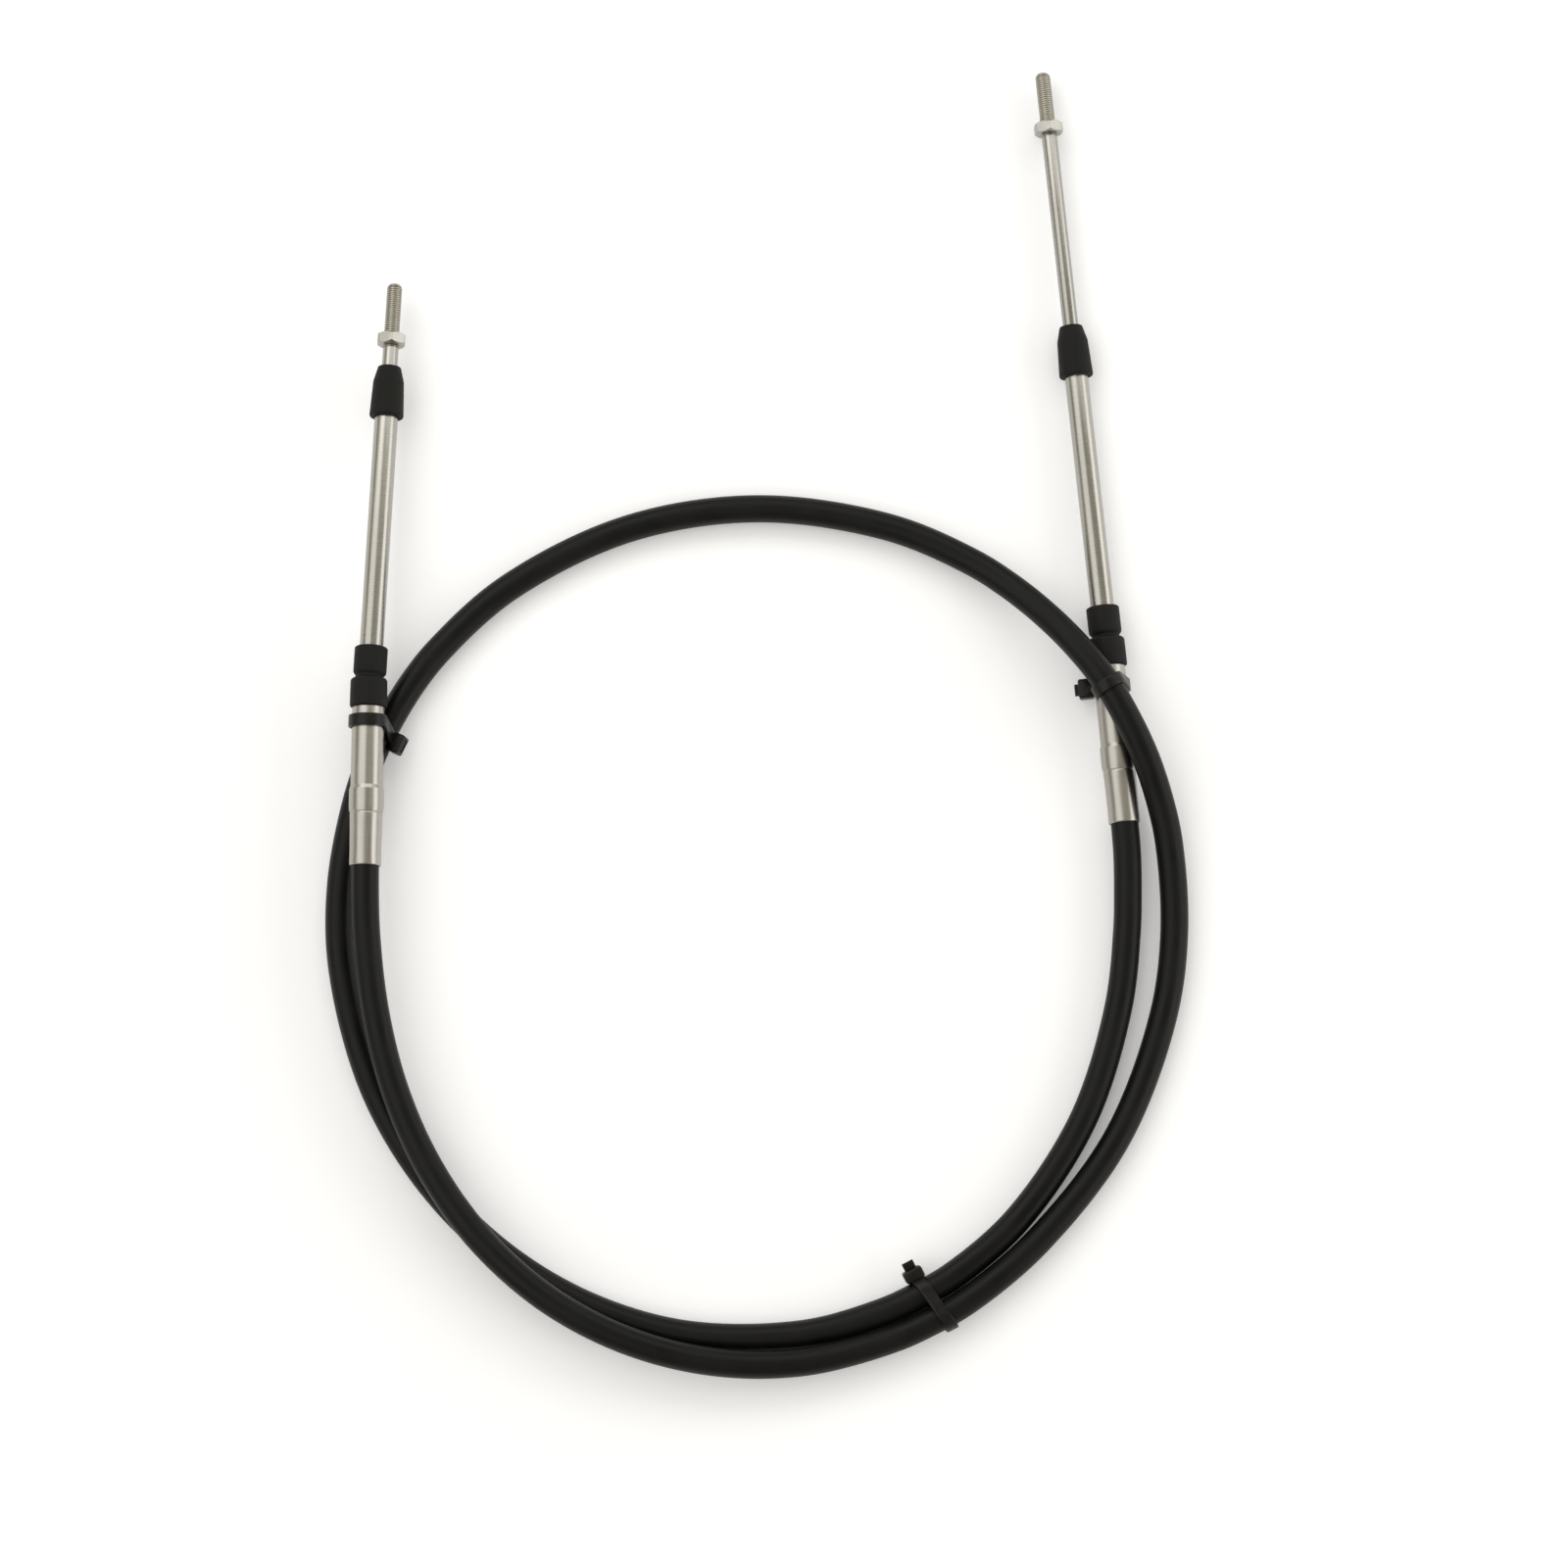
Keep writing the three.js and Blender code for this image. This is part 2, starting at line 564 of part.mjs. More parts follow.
// The place on the floor over which each tie holds a run of the cable
const ties = {
  tie_left: tieGeometry(
    hubAt(ENDS.left, LEFT_TIE_BACK), cableAt(curve, -147.1, -19.0), LEFT_HEAD, TIE_HEAD_HEIGHT, 0,
  ),
  tie_right: tieGeometry(
    hubAt(ENDS.right, RIGHT_TIE_BACK), cableAt(curve, 145.5, -0.8),
    RIGHT_HEAD, RIGHT_HEAD_HEIGHT, TAIL_RIGHT,
  ),
  tie_bottom: tieGeometry(
    cableAt(curve, 76.7, -251.1), cableAt(curve, 72.3, -240.6),
    BOTTOM_HEAD, TIE_HEAD_HEIGHT, TAIL_BOTTOM, BOTTOM_TIE_LEAN,
  ),
};
for (const [name, geometry] of Object.entries(ties)) place(name, geometry, nylonBlack, cable);

export default cable;
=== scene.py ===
# %% [markdown]
# Boat steering cable, dressed for looks
#
# The real thing is a push-pull cable: a black plastic jacket over steel armour, with a wire inside that
# pushes and pulls a rod at each end. It lies on a floor in one and a half turns, held by three nylon cable
# ties. The engineering model gives every piece its place and its way of moving. This script puts a finer
# piece in the place of each plain one, in the same frame, so that it still moves with the same body.

# %% Load the frame
import math

import bpy
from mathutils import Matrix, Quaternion, Vector


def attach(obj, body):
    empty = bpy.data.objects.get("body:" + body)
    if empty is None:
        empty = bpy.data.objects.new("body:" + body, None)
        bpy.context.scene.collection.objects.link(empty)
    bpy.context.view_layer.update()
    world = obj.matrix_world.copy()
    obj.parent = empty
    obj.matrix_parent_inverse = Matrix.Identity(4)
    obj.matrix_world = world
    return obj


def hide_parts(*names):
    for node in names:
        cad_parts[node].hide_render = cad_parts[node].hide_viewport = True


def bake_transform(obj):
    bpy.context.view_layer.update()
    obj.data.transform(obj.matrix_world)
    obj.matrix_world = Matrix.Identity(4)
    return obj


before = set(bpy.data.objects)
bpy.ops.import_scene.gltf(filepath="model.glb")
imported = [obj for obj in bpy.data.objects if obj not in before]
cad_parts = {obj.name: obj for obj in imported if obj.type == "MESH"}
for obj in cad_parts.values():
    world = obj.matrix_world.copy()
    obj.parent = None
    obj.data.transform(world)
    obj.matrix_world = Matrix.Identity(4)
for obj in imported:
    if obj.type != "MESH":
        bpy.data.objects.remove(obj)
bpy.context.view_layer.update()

# %% [markdown]
# The camera
#
# The photograph looks down from high above, a little from the front, and the cable fills the frame. A long
# lens from almost two metres away keeps the far rod as thick as the near one. The lens could be guessed by
# eye, but it follows from the width of floor that the frame has to show and from the camera's distance.

# %% Camera
MM = 0.001
SAME_PLACE = 1e-6  # metres within which two vertices are one
ELEVATION = math.radians(80)
DISTANCE = 1.9
FRAME_WIDTH = 0.6304
SENSOR_WIDTH = 36
look_at = Vector((15.2, -36.8, 8.0)) * MM
backwards = Vector((0, -math.cos(ELEVATION), math.sin(ELEVATION)))

bpy.ops.object.camera_add(
    location=look_at + DISTANCE * backwards,
    rotation=(math.pi / 2 - ELEVATION, 0, 0),
)
camera = bpy.context.active_object
camera.name = "studio_camera"
camera.data.sensor_width = SENSOR_WIDTH
camera.data.lens = SENSOR_WIDTH * DISTANCE / FRAME_WIDTH
bpy.context.scene.camera = camera
print("lens in mm:", round(camera.data.lens, 1))

# %% [markdown]
# The cable's route
#
# A cable this stiff lies in long even curves and passes over itself in low humps. The route is a list of
# places, each with the height of the cable's underside above the floor. It begins in the left
# end fitting and ends in the right one. A straight line between the places would show corners, so a smooth
# curve is run through them, of the kind that doesn't swing out where two places are close together.

# %% Where the fittings lie
# Millimetres and degrees. The ball is the joint between a hub and its support tube. A lean is towards +X and
# a droop is downwards.
ENDS = {
    "left": {
        "ball": Vector((-151.25, -0.6, 19.7)),
        "hub_lean": 0.33,
        "tube_lean": 2.47,
        "tube_droop": 3.0,
        "rod_tip": 170.0,
        "nut_turn": 94,
    },
    "right": {
        "ball": Vector((145.64, 18.3, 8.2)),
        "hub_lean": -5.0,
        "tube_lean": -5.6,
        "tube_droop": 0.3,
        "rod_tip": 243.1,
        "nut_turn": 99,
    },
}
HUB_LENGTH = 72.5
CRIMP_DEPTH = 15.0
JACKET_RADIUS = 5.6


def heading(lean, droop):
    """The direction of something that points along +Y, leaning to +X and drooping, both in degrees."""
    lean, droop = math.radians(lean), math.radians(droop)
    return Vector((
        math.sin(lean) * math.cos(droop),
        math.cos(lean) * math.cos(droop),
        -math.sin(droop),
    ))


def on_hub(end, back):
    """A place on a hub's axis, that far back from the ball's centre."""
    return end["ball"] - back * heading(end["hub_lean"], 0)


for side, end in ENDS.items():
    print(side, "hub ends at", [round(x, 1) for x in on_hub(end, HUB_LENGTH)])

# %% The route
ROUTE = [
    (-150.9, -99.0, 13.6), (-146.8, -131.5, 13.1), (-138.4, -163.1, 12.6), (-124.4, -193.5, 12.2),
    (-104.4, -221.1, 12.0), (-78.4, -244.1, 11.3), (-47.3, -260.4, 9.7), (-13.1, -268.9, 7.3),
    (22.7, -268.9, 5.0), (57.1, -260.0, 3.5), (73.2, -252.9, 3.3), (88.5, -244.0, 2.9),
    (115.4, -221.4, 1.8), (147.4, -180.4, 0.4), (166.4, -131.9, 0.2), (171.4, -97.2, 0.5),
    (169.6, -62.2, 3.2), (165.8, -45.1, 6.6), (160.1, -28.7, 11.4), (152.5, -12.9, 14.7),
    (143.5, 2.6, 15.5), (132.4, 17.4, 12.9), (119.9, 31.2, 8.4), (106.1, 43.5, 4.4),
    (90.9, 53.9, 1.9), (57.7, 68.5, 0.2), (4.4, 76.2, 0.2), (-48.6, 67.7, 0.2),
    (-96.5, 43.3, 0.3), (-123.1, 18.8, 0.8), (-134.2, 4.5, 1.4), (-143.4, -11.1, 1.7),
    (-151.0, -27.4, 1.6), (-156.6, -44.4, 1.1), (-162.5, -79.4, 0.3), (-161.0, -114.7, 0.2),
    (-146.0, -164.9, 0.2), (-116.9, -207.7, 0.2), (-76.6, -239.5, 0.2), (-28.9, -257.0, 0.2),
    (21.5, -257.9, 0.3), (53.6, -249.4, 1.4), (68.8, -242.5, 1.9), (83.0, -234.1, 1.4),
    (107.6, -212.6, 0.6), (134.2, -172.7, 0.4), (148.6, -128.1, 0.8), (152.4, -97.3, 1.5),
    (152.9, -81.7, 2.1), (152.8, -66.5, 2.3),
]
CABLE_START = on_hub(ENDS["left"], HUB_LENGTH - CRIMP_DEPTH)
CABLE_END = on_hub(ENDS["right"], HUB_LENGTH - CRIMP_DEPTH)
route = [
    CABLE_START,
    on_hub(ENDS["left"], HUB_LENGTH),
    *(Vector((x, y, underside + JACKET_RADIUS)) for x, y, underside in ROUTE),
    on_hub(ENDS["right"], HUB_LENGTH),
    CABLE_END,
]


def curve_through(places, steps):
    """Places along a smooth centripetal curve that passes through all the given ones."""
    padded = [2 * places[0] - places[1], *places, 2 * places[-1] - places[-2]]
    drawn = []
    for before, start, end, after in zip(padded, padded[1:], padded[2:], padded[3:]):
        gap_before = math.sqrt((start - before).length)
        gap = math.sqrt((end - start).length)
        gap_after = math.sqrt((after - end).length)
        leave = (start - before) / gap_before - (end - before) / (gap_before + gap) + (end - start) / gap
        arrive = (end - start) / gap - (after - start) / (gap + gap_after) + (after - end) / gap_after
        leave, arrive = leave * gap, arrive * gap
        for step in range(steps):
            t = step / steps
            drawn.append(
                (2 * t**3 - 3 * t**2 + 1) * start + (t**3 - 2 * t**2 + t) * leave
                + (3 * t**2 - 2 * t**3) * end + (t**3 - t**2) * arrive
            )
    drawn.append(places[-1])
    return drawn


def evenly(places, spacing):
    """The same line with places that far apart along it."""
    lengths = [0.0]
    for here, there in zip(places, places[1:]):
        lengths.append(lengths[-1] + (there - here).length)
    count = round(lengths[-1] / spacing)
    even, k = [], 0
    for i in range(count + 1):
        wanted = lengths[-1] * i / count
        while k < len(places) - 2 and lengths[k + 1] < wanted:
            k += 1
        share = (wanted - lengths[k]) / (lengths[k + 1] - lengths[k])
        even.append(places[k].lerp(places[k + 1], share))
    return even


CABLE_STEP = 2.5
centreline = evenly(curve_through(route, 24), CABLE_STEP)
cable_length = sum((b - a).length for a, b in zip(centreline, centreline[1:]))
print("cable in mm:", round(cable_length), "in", len(centreline), "places")

# %% [markdown]
# The jacket
#
# The real jacket is plastic drawn over the armour as one round hose. A hose is quickest as a curve with a
# round bevel, which keeps the section round wherever the curve turns. The curve is then made a mesh, so that
# each point can carry how far along the cable it is and where round it, for a finish that follows the hose.

# %% Selecting and editing
def only(piece):
    """Select this object and nothing else."""
    bpy.ops.object.select_all(action="DESELECT")
    piece.select_set(True)
    bpy.context.view_layer.objects.active = piece
    return piece


def smooth(piece, degrees=30):
    """Shade round surfaces smooth and leave sharper edges crisp."""
    only(piece)
    bpy.ops.object.shade_smooth_by_angle(angle=math.radians(degrees))
    return piece


def keep_places(piece, name, places):
    """Store one place for each vertex under a name that a material can read."""
    layer = piece.data.attributes.new(name, "FLOAT_VECTOR", "POINT")
    layer.data.foreach_set("vector", [x for place in places for x in place])


# %% The cable as a hose
JACKET_BEVEL_STEPS = 14
hose = bpy.data.curves.new("conduit", "CURVE")
hose.dimensions = "3D"
hose.bevel_depth = JACKET_RADIUS * MM
hose.bevel_resolution = JACKET_BEVEL_STEPS
hose.use_fill_caps = True
line = hose.splines.new("POLY")
line.points.add(len(centreline) - 1)
for point, place in zip(line.points, centreline):
    point.co = (*(place * MM), 1)
cable = bpy.data.objects.new("cable_jacket", hose)
bpy.context.scene.collection.objects.link(cable)
only(cable)
bpy.ops.object.convert(target="MESH")
cable = bpy.context.active_object

sides = len(cable.data.vertices) // len(centreline)
along = [
    (math.cos(math.tau * (i % sides) / sides) * JACKET_RADIUS * MM,
     math.sin(math.tau * (i % sides) / sides) * JACKET_RADIUS * MM,
     (i // sides) * CABLE_STEP * MM)
    for i in range(len(cable.data.vertices))
]
keep_places(cable, "along", along)
only(cable)
bpy.ops.object.mode_set(mode="EDIT")
bpy.ops.mesh.select_all(action="SELECT")
bpy.ops.mesh.remove_doubles(threshold=SAME_PLACE)
bpy.ops.object.mode_set(mode="OBJECT")
smooth(cable, 60)
print("jacket:", sides, "sides,", len(cable.data.vertices), "vertices")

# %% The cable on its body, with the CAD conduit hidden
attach(cable, "cable")
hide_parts("conduit")

# %% [markdown]
# Colours
#
# Colours are easiest to read as the hex values of a picture, but a renderer counts in light, so one function
# turns them. A second one adds a node with its settings and links, and every material below is made with it.

# %% Material helpers
def colour(hex_value):
    """An sRGB hex value as linear red, green, blue and alpha."""
    parts = [int(hex_value[i:i + 2], 16) / 255 for i in (1, 3, 5)]
    linear = [c / 12.92 if c <= 0.04045 else ((c + 0.055) / 1.055) ** 2.4 for c in parts]
    return (*linear, 1.0)


def add(tree, kind, inputs=None, **settings):
    """Add a node. An input is a plain value or another node's output; a setting is the node's own."""
    node = tree.nodes.new(kind)
    for name, value in settings.items():
        setattr(node, name, value)
    for name, value in (inputs or {}).items():
        if isinstance(value, bpy.types.NodeSocket):
            tree.links.new(value, node.inputs[name])
        else:
            node.inputs[name].default_value = value
    return node


def new_material(name):
    """An empty material, with its tree and its surface shader."""
    material = bpy.data.materials.new(name)
    material.use_nodes = True
    tree = material.node_tree
    shader = next(n for n in tree.nodes if n.type == "BSDF_PRINCIPLED")
    return material, tree, shader


def ramp(tree, factor, low, high, start=0.3, end=0.7):
    """Two colours mixed by a factor."""
    node = add(tree, "ShaderNodeValToRGB", {"Fac": factor})
    stops = node.color_ramp.elements
    stops[0].position, stops[0].color = start, low
    stops[1].position, stops[1].color = end, high
    return node.outputs["Color"]


# %% The picture's tones
# The plain transform keeps the hex values below as they are seen.
bpy.context.scene.view_settings.view_transform = "Standard"

# %% [markdown]
# Extruded black polyethylene
#
# The jacket comes out of a heated die, so its surface is satin, with faint lines drawn along it and slow
# clouds of duller and glossier plastic where it was handled. The lines are stretched along the hose: they
# change quickly round it and hardly at all along it, which the stored places make easy.

# %% Jacket material
jacket_finish, tree, shader = new_material("extruded_black_polyethylene")
here = add(tree, "ShaderNodeAttribute", attribute_name="along")
# Real drawn lines are finer than 0.1 mm; these are about 0.6 mm apart, so that the picture can show them.
stretched = add(tree, "ShaderNodeMapping", {"Vector": here.outputs["Vector"], "Scale": (1600, 1600, 12)})
drawn_lines = add(tree, "ShaderNodeTexNoise", {
    "Vector": stretched.outputs["Vector"], "Scale": 1, "Detail": 3,
})
clouds = add(tree, "ShaderNodeTexNoise", {"Vector": here.outputs["Vector"], "Scale": 60, "Detail": 4})
grain = add(tree, "ShaderNodeTexNoise", {"Vector": here.outputs["Vector"], "Scale": 2500, "Detail": 2})
tree.links.new(
    ramp(tree, clouds.outputs["Fac"], colour("#0b0b0a"), colour("#111110")), shader.inputs["Base Color"]
)
gloss = add(tree, "ShaderNodeMapRange", {
    "Value": clouds.outputs["Fac"], "From Min": 0.3, "From Max": 0.7, "To Min": 0.36, "To Max": 0.5,
})
tree.links.new(gloss.outputs["Result"], shader.inputs["Roughness"])
lines_bump = add(tree, "ShaderNodeBump", {
    "Height": drawn_lines.outputs["Fac"], "Strength": 0.35, "Distance": 0.00004,
})
grain_bump = add(tree, "ShaderNodeBump", {
    "Height": grain.outputs["Fac"], "Strength": 0.3, "Distance": 0.00003,
    "Normal": lines_bump.outputs["Normal"],
})
tree.links.new(grain_bump.outputs["Normal"], shader.inputs["Normal"])
shader.inputs["IOR"].default_value = 1.51
shader.inputs["Specular IOR Level"].default_value = 0.17
cable.data.materials.append(jacket_finish)
print("jacket material:", len(tree.nodes), "nodes")

# %% [markdown]
# Turned pieces
#
# Hubs, tubes, rods and rubber sleeves are all round about one line. On a lathe the tool follows half of the
# outline while the work spins, and the same is done here: the outline is drawn point by point with extrude,
# its corners are rounded with a vertex bevel, and spin turns it through a full circle. Stacking cylinders
# would also work, but it leaves hidden walls inside and hard corners where real tools leave small radii.

# %% Drawing an outline and spinning it
TURNED_SIDES = 72


def select_where(piece, test):
    """In edit mode, select the vertices whose place passes the test, and the edges and faces between them."""
    bpy.ops.object.mode_set(mode="OBJECT")
    mesh = piece.data
    chosen = [bool(test(v.co)) for v in mesh.vertices]
    mesh.vertices.foreach_set("select", chosen)
    mesh.edges.foreach_set("select", [all(chosen[i] for i in e.vertices) for e in mesh.edges])
    mesh.polygons.foreach_set("select", [all(chosen[i] for i in p.vertices) for p in mesh.polygons])
    bpy.ops.object.mode_set(mode="EDIT")
    bpy.ops.mesh.select_mode(type="VERT")
    return sum(chosen)


def select_edges(piece, test):
    """In edit mode, select only the edges whose two vertices pass the test, lower number first."""
    only(piece)
    bpy.ops.object.mode_set(mode="EDIT")
    bpy.ops.mesh.select_mode(type="EDGE")
    bpy.ops.mesh.select_all(action="DESELECT")
    bpy.ops.object.mode_set(mode="OBJECT")
    for edge in piece.data.edges:
        edge.select = test(*sorted(edge.vertices))
    bpy.ops.object.mode_set(mode="EDIT")


def turned(name, outline, turned_sides=TURNED_SIDES):
    """A solid of revolution about +Z. The outline is (distance along, radius, rounding) in mm, closed on
    itself or with both ends on the axis."""
    bpy.ops.object.select_all(action="DESELECT")
    bpy.ops.mesh.primitive_plane_add(size=MM)
    piece = bpy.context.active_object
    piece.name = name
    bpy.ops.object.mode_set(mode="EDIT")
    bpy.ops.mesh.select_mode(type="VERT")
    bpy.ops.mesh.select_all(action="SELECT")
    bpy.ops.mesh.merge(type="CENTER")
    places = [Vector((radius, 0, along)) * MM for along, radius, _ in outline]
    bpy.ops.transform.translate(value=places[0])
    steps = list(zip(places, places[1:]))
    if outline[0][1] > 0:
        steps.append((places[-1], places[0]))
    for start, end in steps:
        bpy.ops.mesh.extrude_region_move(TRANSFORM_OT_translate={"value": end - start})
    bpy.ops.mesh.select_all(action="SELECT")
    bpy.ops.mesh.remove_doubles(threshold=SAME_PLACE)
    for rounding in sorted({r for _, _, r in outline if r > 0}):
        corners = [place for place, (_, _, r) in zip(places, outline) if r == rounding]
        select_where(piece, lambda co: any((co - corner).length < SAME_PLACE for corner in corners))
        bpy.ops.mesh.bevel(offset=rounding * MM, segments=4, affect="VERTICES", clamp_overlap=True)
    bpy.ops.mesh.select_all(action="SELECT")
    bpy.ops.mesh.spin(steps=turned_sides, angle=math.tau, center=(0, 0, 0), axis=(0, 0, 1))
    bpy.ops.mesh.select_all(action="SELECT")
    bpy.ops.mesh.remove_doubles(threshold=SAME_PLACE)
    bpy.ops.mesh.normals_make_consistent(inside=False)
    bpy.ops.object.mode_set(mode="OBJECT")
    return piece


# %% Laying a turned piece on its fitting
RIGHT_PATTERN_SHIFT = 0.4  # metres along a pattern, so that the two ends don't carry the same marks


def lay(piece, side, direction, slide=0.0, turn=0.0):
    """Turn a piece from +Z to a direction at the ball, after storing its own places for its material."""
    shift = RIGHT_PATTERN_SHIFT if side == "right" else 0.0
    keep_places(piece, "turned", [v.co + Vector((0, 0, shift + slide * MM)) for v in piece.data.vertices])
    only(piece)
    piece.rotation_mode = "QUATERNION"
    spun = Quaternion((0, 0, 1), math.radians(turn))
    piece.rotation_quaternion = Vector((0, 0, 1)).rotation_difference(direction) @ spun
    piece.location = (ENDS[side]["ball"] + slide * direction) * MM
    bpy.ops.object.transform_apply(location=True, rotation=True, scale=True)
    return piece


def hub_way(side):
    return heading(ENDS[side]["hub_lean"], 0)


def tube_way(side):
    return heading(ENDS[side]["tube_lean"], ENDS[side]["tube_droop"])


def show(piece, body, material, node):
    """Give a finished piece its finish, its body and the CAD node that it stands for."""
    piece.data.materials.clear()
    piece.data.materials.append(material)
    if body:
        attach(piece, body)
    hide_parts(node)
    print(piece.name, "has", len(piece.data.polygons), "faces")
    return piece


# %% [markdown]
# Steel finishes
#
# The tubes, hubs and rods are stainless steel, ground and polished round their axis. That leaves rings far
# too fine to see one by one, which blur the reflections along the tube and give the metal its soft grey
# bands. The nut is plated, so it is duller and a little cloudy. One function makes them all, because they
# differ only in colour, in gloss and in how coarse their marks are.

# %% Steel materials
def steel(name, dark, light, roughness, ring_scale, axial_scale):
    """A ground metal whose marks run round the piece's own axis, with faint streaks along it."""
    material, tree, shader = new_material(name)
    here = add(tree, "ShaderNodeAttribute", attribute_name="turned").outputs["Vector"]
    rings_at = add(tree, "ShaderNodeMapping", {"Vector": here, "Scale": (60, 60, ring_scale)})
    rings = add(tree, "ShaderNodeTexNoise", {"Vector": rings_at.outputs["Vector"], "Scale": 1, "Detail": 4})
    streaks_at = add(tree, "ShaderNodeMapping", {"Vector": here, "Scale": (axial_scale, axial_scale, 25)})
    streaks = add(tree, "ShaderNodeTexNoise", {
        "Vector": streaks_at.outputs["Vector"], "Scale": 1, "Detail": 3,
    })
    marks = add(tree, "ShaderNodeMix", {
        "Factor": 0.7, "A": rings.outputs["Fac"], "B": streaks.outputs["Fac"],
    }).outputs["Result"]
    tree.links.new(ramp(tree, marks, colour(dark), colour(light)), shader.inputs["Base Color"])
    gloss = add(tree, "ShaderNodeMapRange", {
        "Value": marks, "From Min": 0.35, "From Max": 0.65,
        "To Min": roughness - 0.03, "To Max": roughness + 0.05,
    })
    tree.links.new(gloss.outputs["Result"], shader.inputs["Roughness"])
    bump = add(tree, "ShaderNodeBump", {"Height": marks, "Strength": 0.1, "Distance": 0.00003})
    tree.links.new(bump.outputs["Normal"], shader.inputs["Normal"])
    shader.inputs["Metallic"].default_value = 1.0
    return material


# Grinding marks are about 0.01 mm apart; these are near 0.6 mm, the finest that the picture can hold.
ground_steel = steel("ground_stainless_steel", "#a19f99", "#afada7", 0.26, 1600, 300)
turned_steel = steel("turned_stainless_steel", "#a29f99", "#b1aea8", 0.30, 2200, 500)
polished_rod = steel("polished_stainless_rod", "#9a9893", "#a9a7a2", 0.24, 1200, 250)
rolled_thread = steel("rolled_thread_steel", "#a09c92", "#b4b0a6", 0.36, 900, 200)
plated_steel = steel("zinc_plated_steel", "#a19f9a", "#b2b0aa", 0.34, 400, 400)

# %% [markdown]
# Moulded nitrile rubber
#
# The seals are soft moulded rubber. It is nearly black, quite dull, and its skin copies the fine sand-blasted
# grain of the mould, so highlights spread wide and break up. A little dust makes some of it paler.

# %% Rubber material
seal_rubber, tree, shader = new_material("moulded_nitrile_rubber")
here = add(tree, "ShaderNodeTexCoord").outputs["Object"]
dust = add(tree, "ShaderNodeTexNoise", {"Vector": here, "Scale": 220, "Detail": 5})
# The mould's grain is near 0.1 mm; it is drawn at about 0.4 mm, so that it shows.
skin = add(tree, "ShaderNodeTexNoise", {"Vector": here, "Scale": 2600, "Detail": 3})
tree.links.new(
    ramp(tree, dust.outputs["Fac"], colour("#131312"), colour("#1a1a18")), shader.inputs["Base Color"]
)
dull = add(tree, "ShaderNodeMapRange", {
    "Value": dust.outputs["Fac"], "From Min": 0.3, "From Max": 0.7, "To Min": 0.58, "To Max": 0.75,
})
tree.links.new(dull.outputs["Result"], shader.inputs["Roughness"])
skin_bump = add(tree, "ShaderNodeBump", {"Height": skin.outputs["Fac"], "Strength": 0.4, "Distance": 0.00006})
tree.links.new(skin_bump.outputs["Normal"], shader.inputs["Normal"])
shader.inputs["IOR"].default_value = 1.52
shader.inputs["Specular IOR Level"].default_value = 0.17

# %% [markdown]
# The hubs
#
# A hub is one turned steel part: a hidden socket for the ball, a plain body, a raised band with a bright
# chamfer, and a thin ferrule that was crimped on the jacket. The crimping tool left faint flats round the
# ferrule, which show as extra bands in the reflection. The flats are pressed into the spun piece at the end,
# because they are the only thing on it that isn't round.

# %% Hub outline
# Each corner is its distance along the axis from the ball, its radius and its rounding, in mm.
HUB = [
    (-57.2, 1.6, 0), (-57.2, 5.7, 0), (-72.5, 5.7, 0.1), (-72.5, 6.15, 0.15), (-71.9, 6.42, 0.3),
    (-66.0, 6.42, 0), (-60.0, 6.50, 0), (-54.0, 6.57, 0), (-51.6, 6.60, 0.2), (-51.3, 6.48, 0.05),
    (-51.05, 6.48, 0.05), (-50.9, 6.70, 0.1), (-49.2, 6.98, 0.8), (-41.75, 7.0, 0.12), (-40.2, 6.5, 0.12),
    (-8.1, 6.5, 0.3), (-8.1, 5.5, 0), (2.9, 5.5, 0.1), (2.9, 4.2, 0), (2.3, 3.87, 0),
    (1.2, 4.33, 0), (0, 4.5, 0), (-1.6, 4.2, 0), (-3.0, 3.35, 0), (-4.2, 1.6, 0),
]
CRIMP_FLATS = 8
CRIMP_PRESS = 0.09
CRIMP_FROM, CRIMP_TO = -71.5, -53.0

# %% Hubs
HUB_SIDES = 96
hub = turned("hub", HUB, HUB_SIDES)
only(hub)
bpy.ops.object.mode_set(mode="EDIT")
select_where(hub, lambda co: CRIMP_FROM * MM - 1e-3 < co.z < CRIMP_TO * MM and co.xy.length > 6 * MM)
bpy.ops.object.mode_set(mode="OBJECT")
for vertex in hub.data.vertices:
    if vertex.select and vertex.co.z > CRIMP_FROM * MM:
        bearing = math.atan2(vertex.co.y, vertex.co.x)
        press = CRIMP_PRESS * (0.5 + 0.5 * math.cos(CRIMP_FLATS * bearing)) * MM
        vertex.co.xy *= 1 - press / vertex.co.xy.length
smooth(hub, 25)
for side in ENDS:
    piece = hub.copy()
    piece.data = hub.data.copy()
    piece.name = f"{side}_hub_turned"
    bpy.context.scene.collection.objects.link(piece)
    lay(piece, side, hub_way(side))
    show(piece, "cable", turned_steel, f"{side}_hub")
bpy.data.objects.remove(hub)

# %% [markdown]
# Support tubes
#
# Each tube ends in a ball inside the hub, so it can tilt, and its other end is open for the rod. What shows
# is a long plain cylinder, so its finish has to carry it. The bore is modelled too, because the rod slides
# in it.

# %% Support tubes
TUBE = [
    (9.0, 1.6, 0), (-3.88, 1.6, 0), (-2.6, 3.3, 0), (-1.2, 4.02, 0), (0, 4.2, 0), (1.2, 4.02, 0),
    (2.6, 3.3, 0), (3.04, 2.9, 0), (6.0, 2.9, 0.1), (6.6, 4.765, 0.2), (128.0, 4.765, 0.3),
    (128.0, 3.4, 0.1), (9.0, 3.4, 0),
]
for side in ENDS:
    piece = smooth(turned(f"{side}_support_tube_ground", TUBE))
    lay(piece, side, tube_way(side))
    show(piece, f"{side}_tube", ground_steel, f"{side}_support_tube")

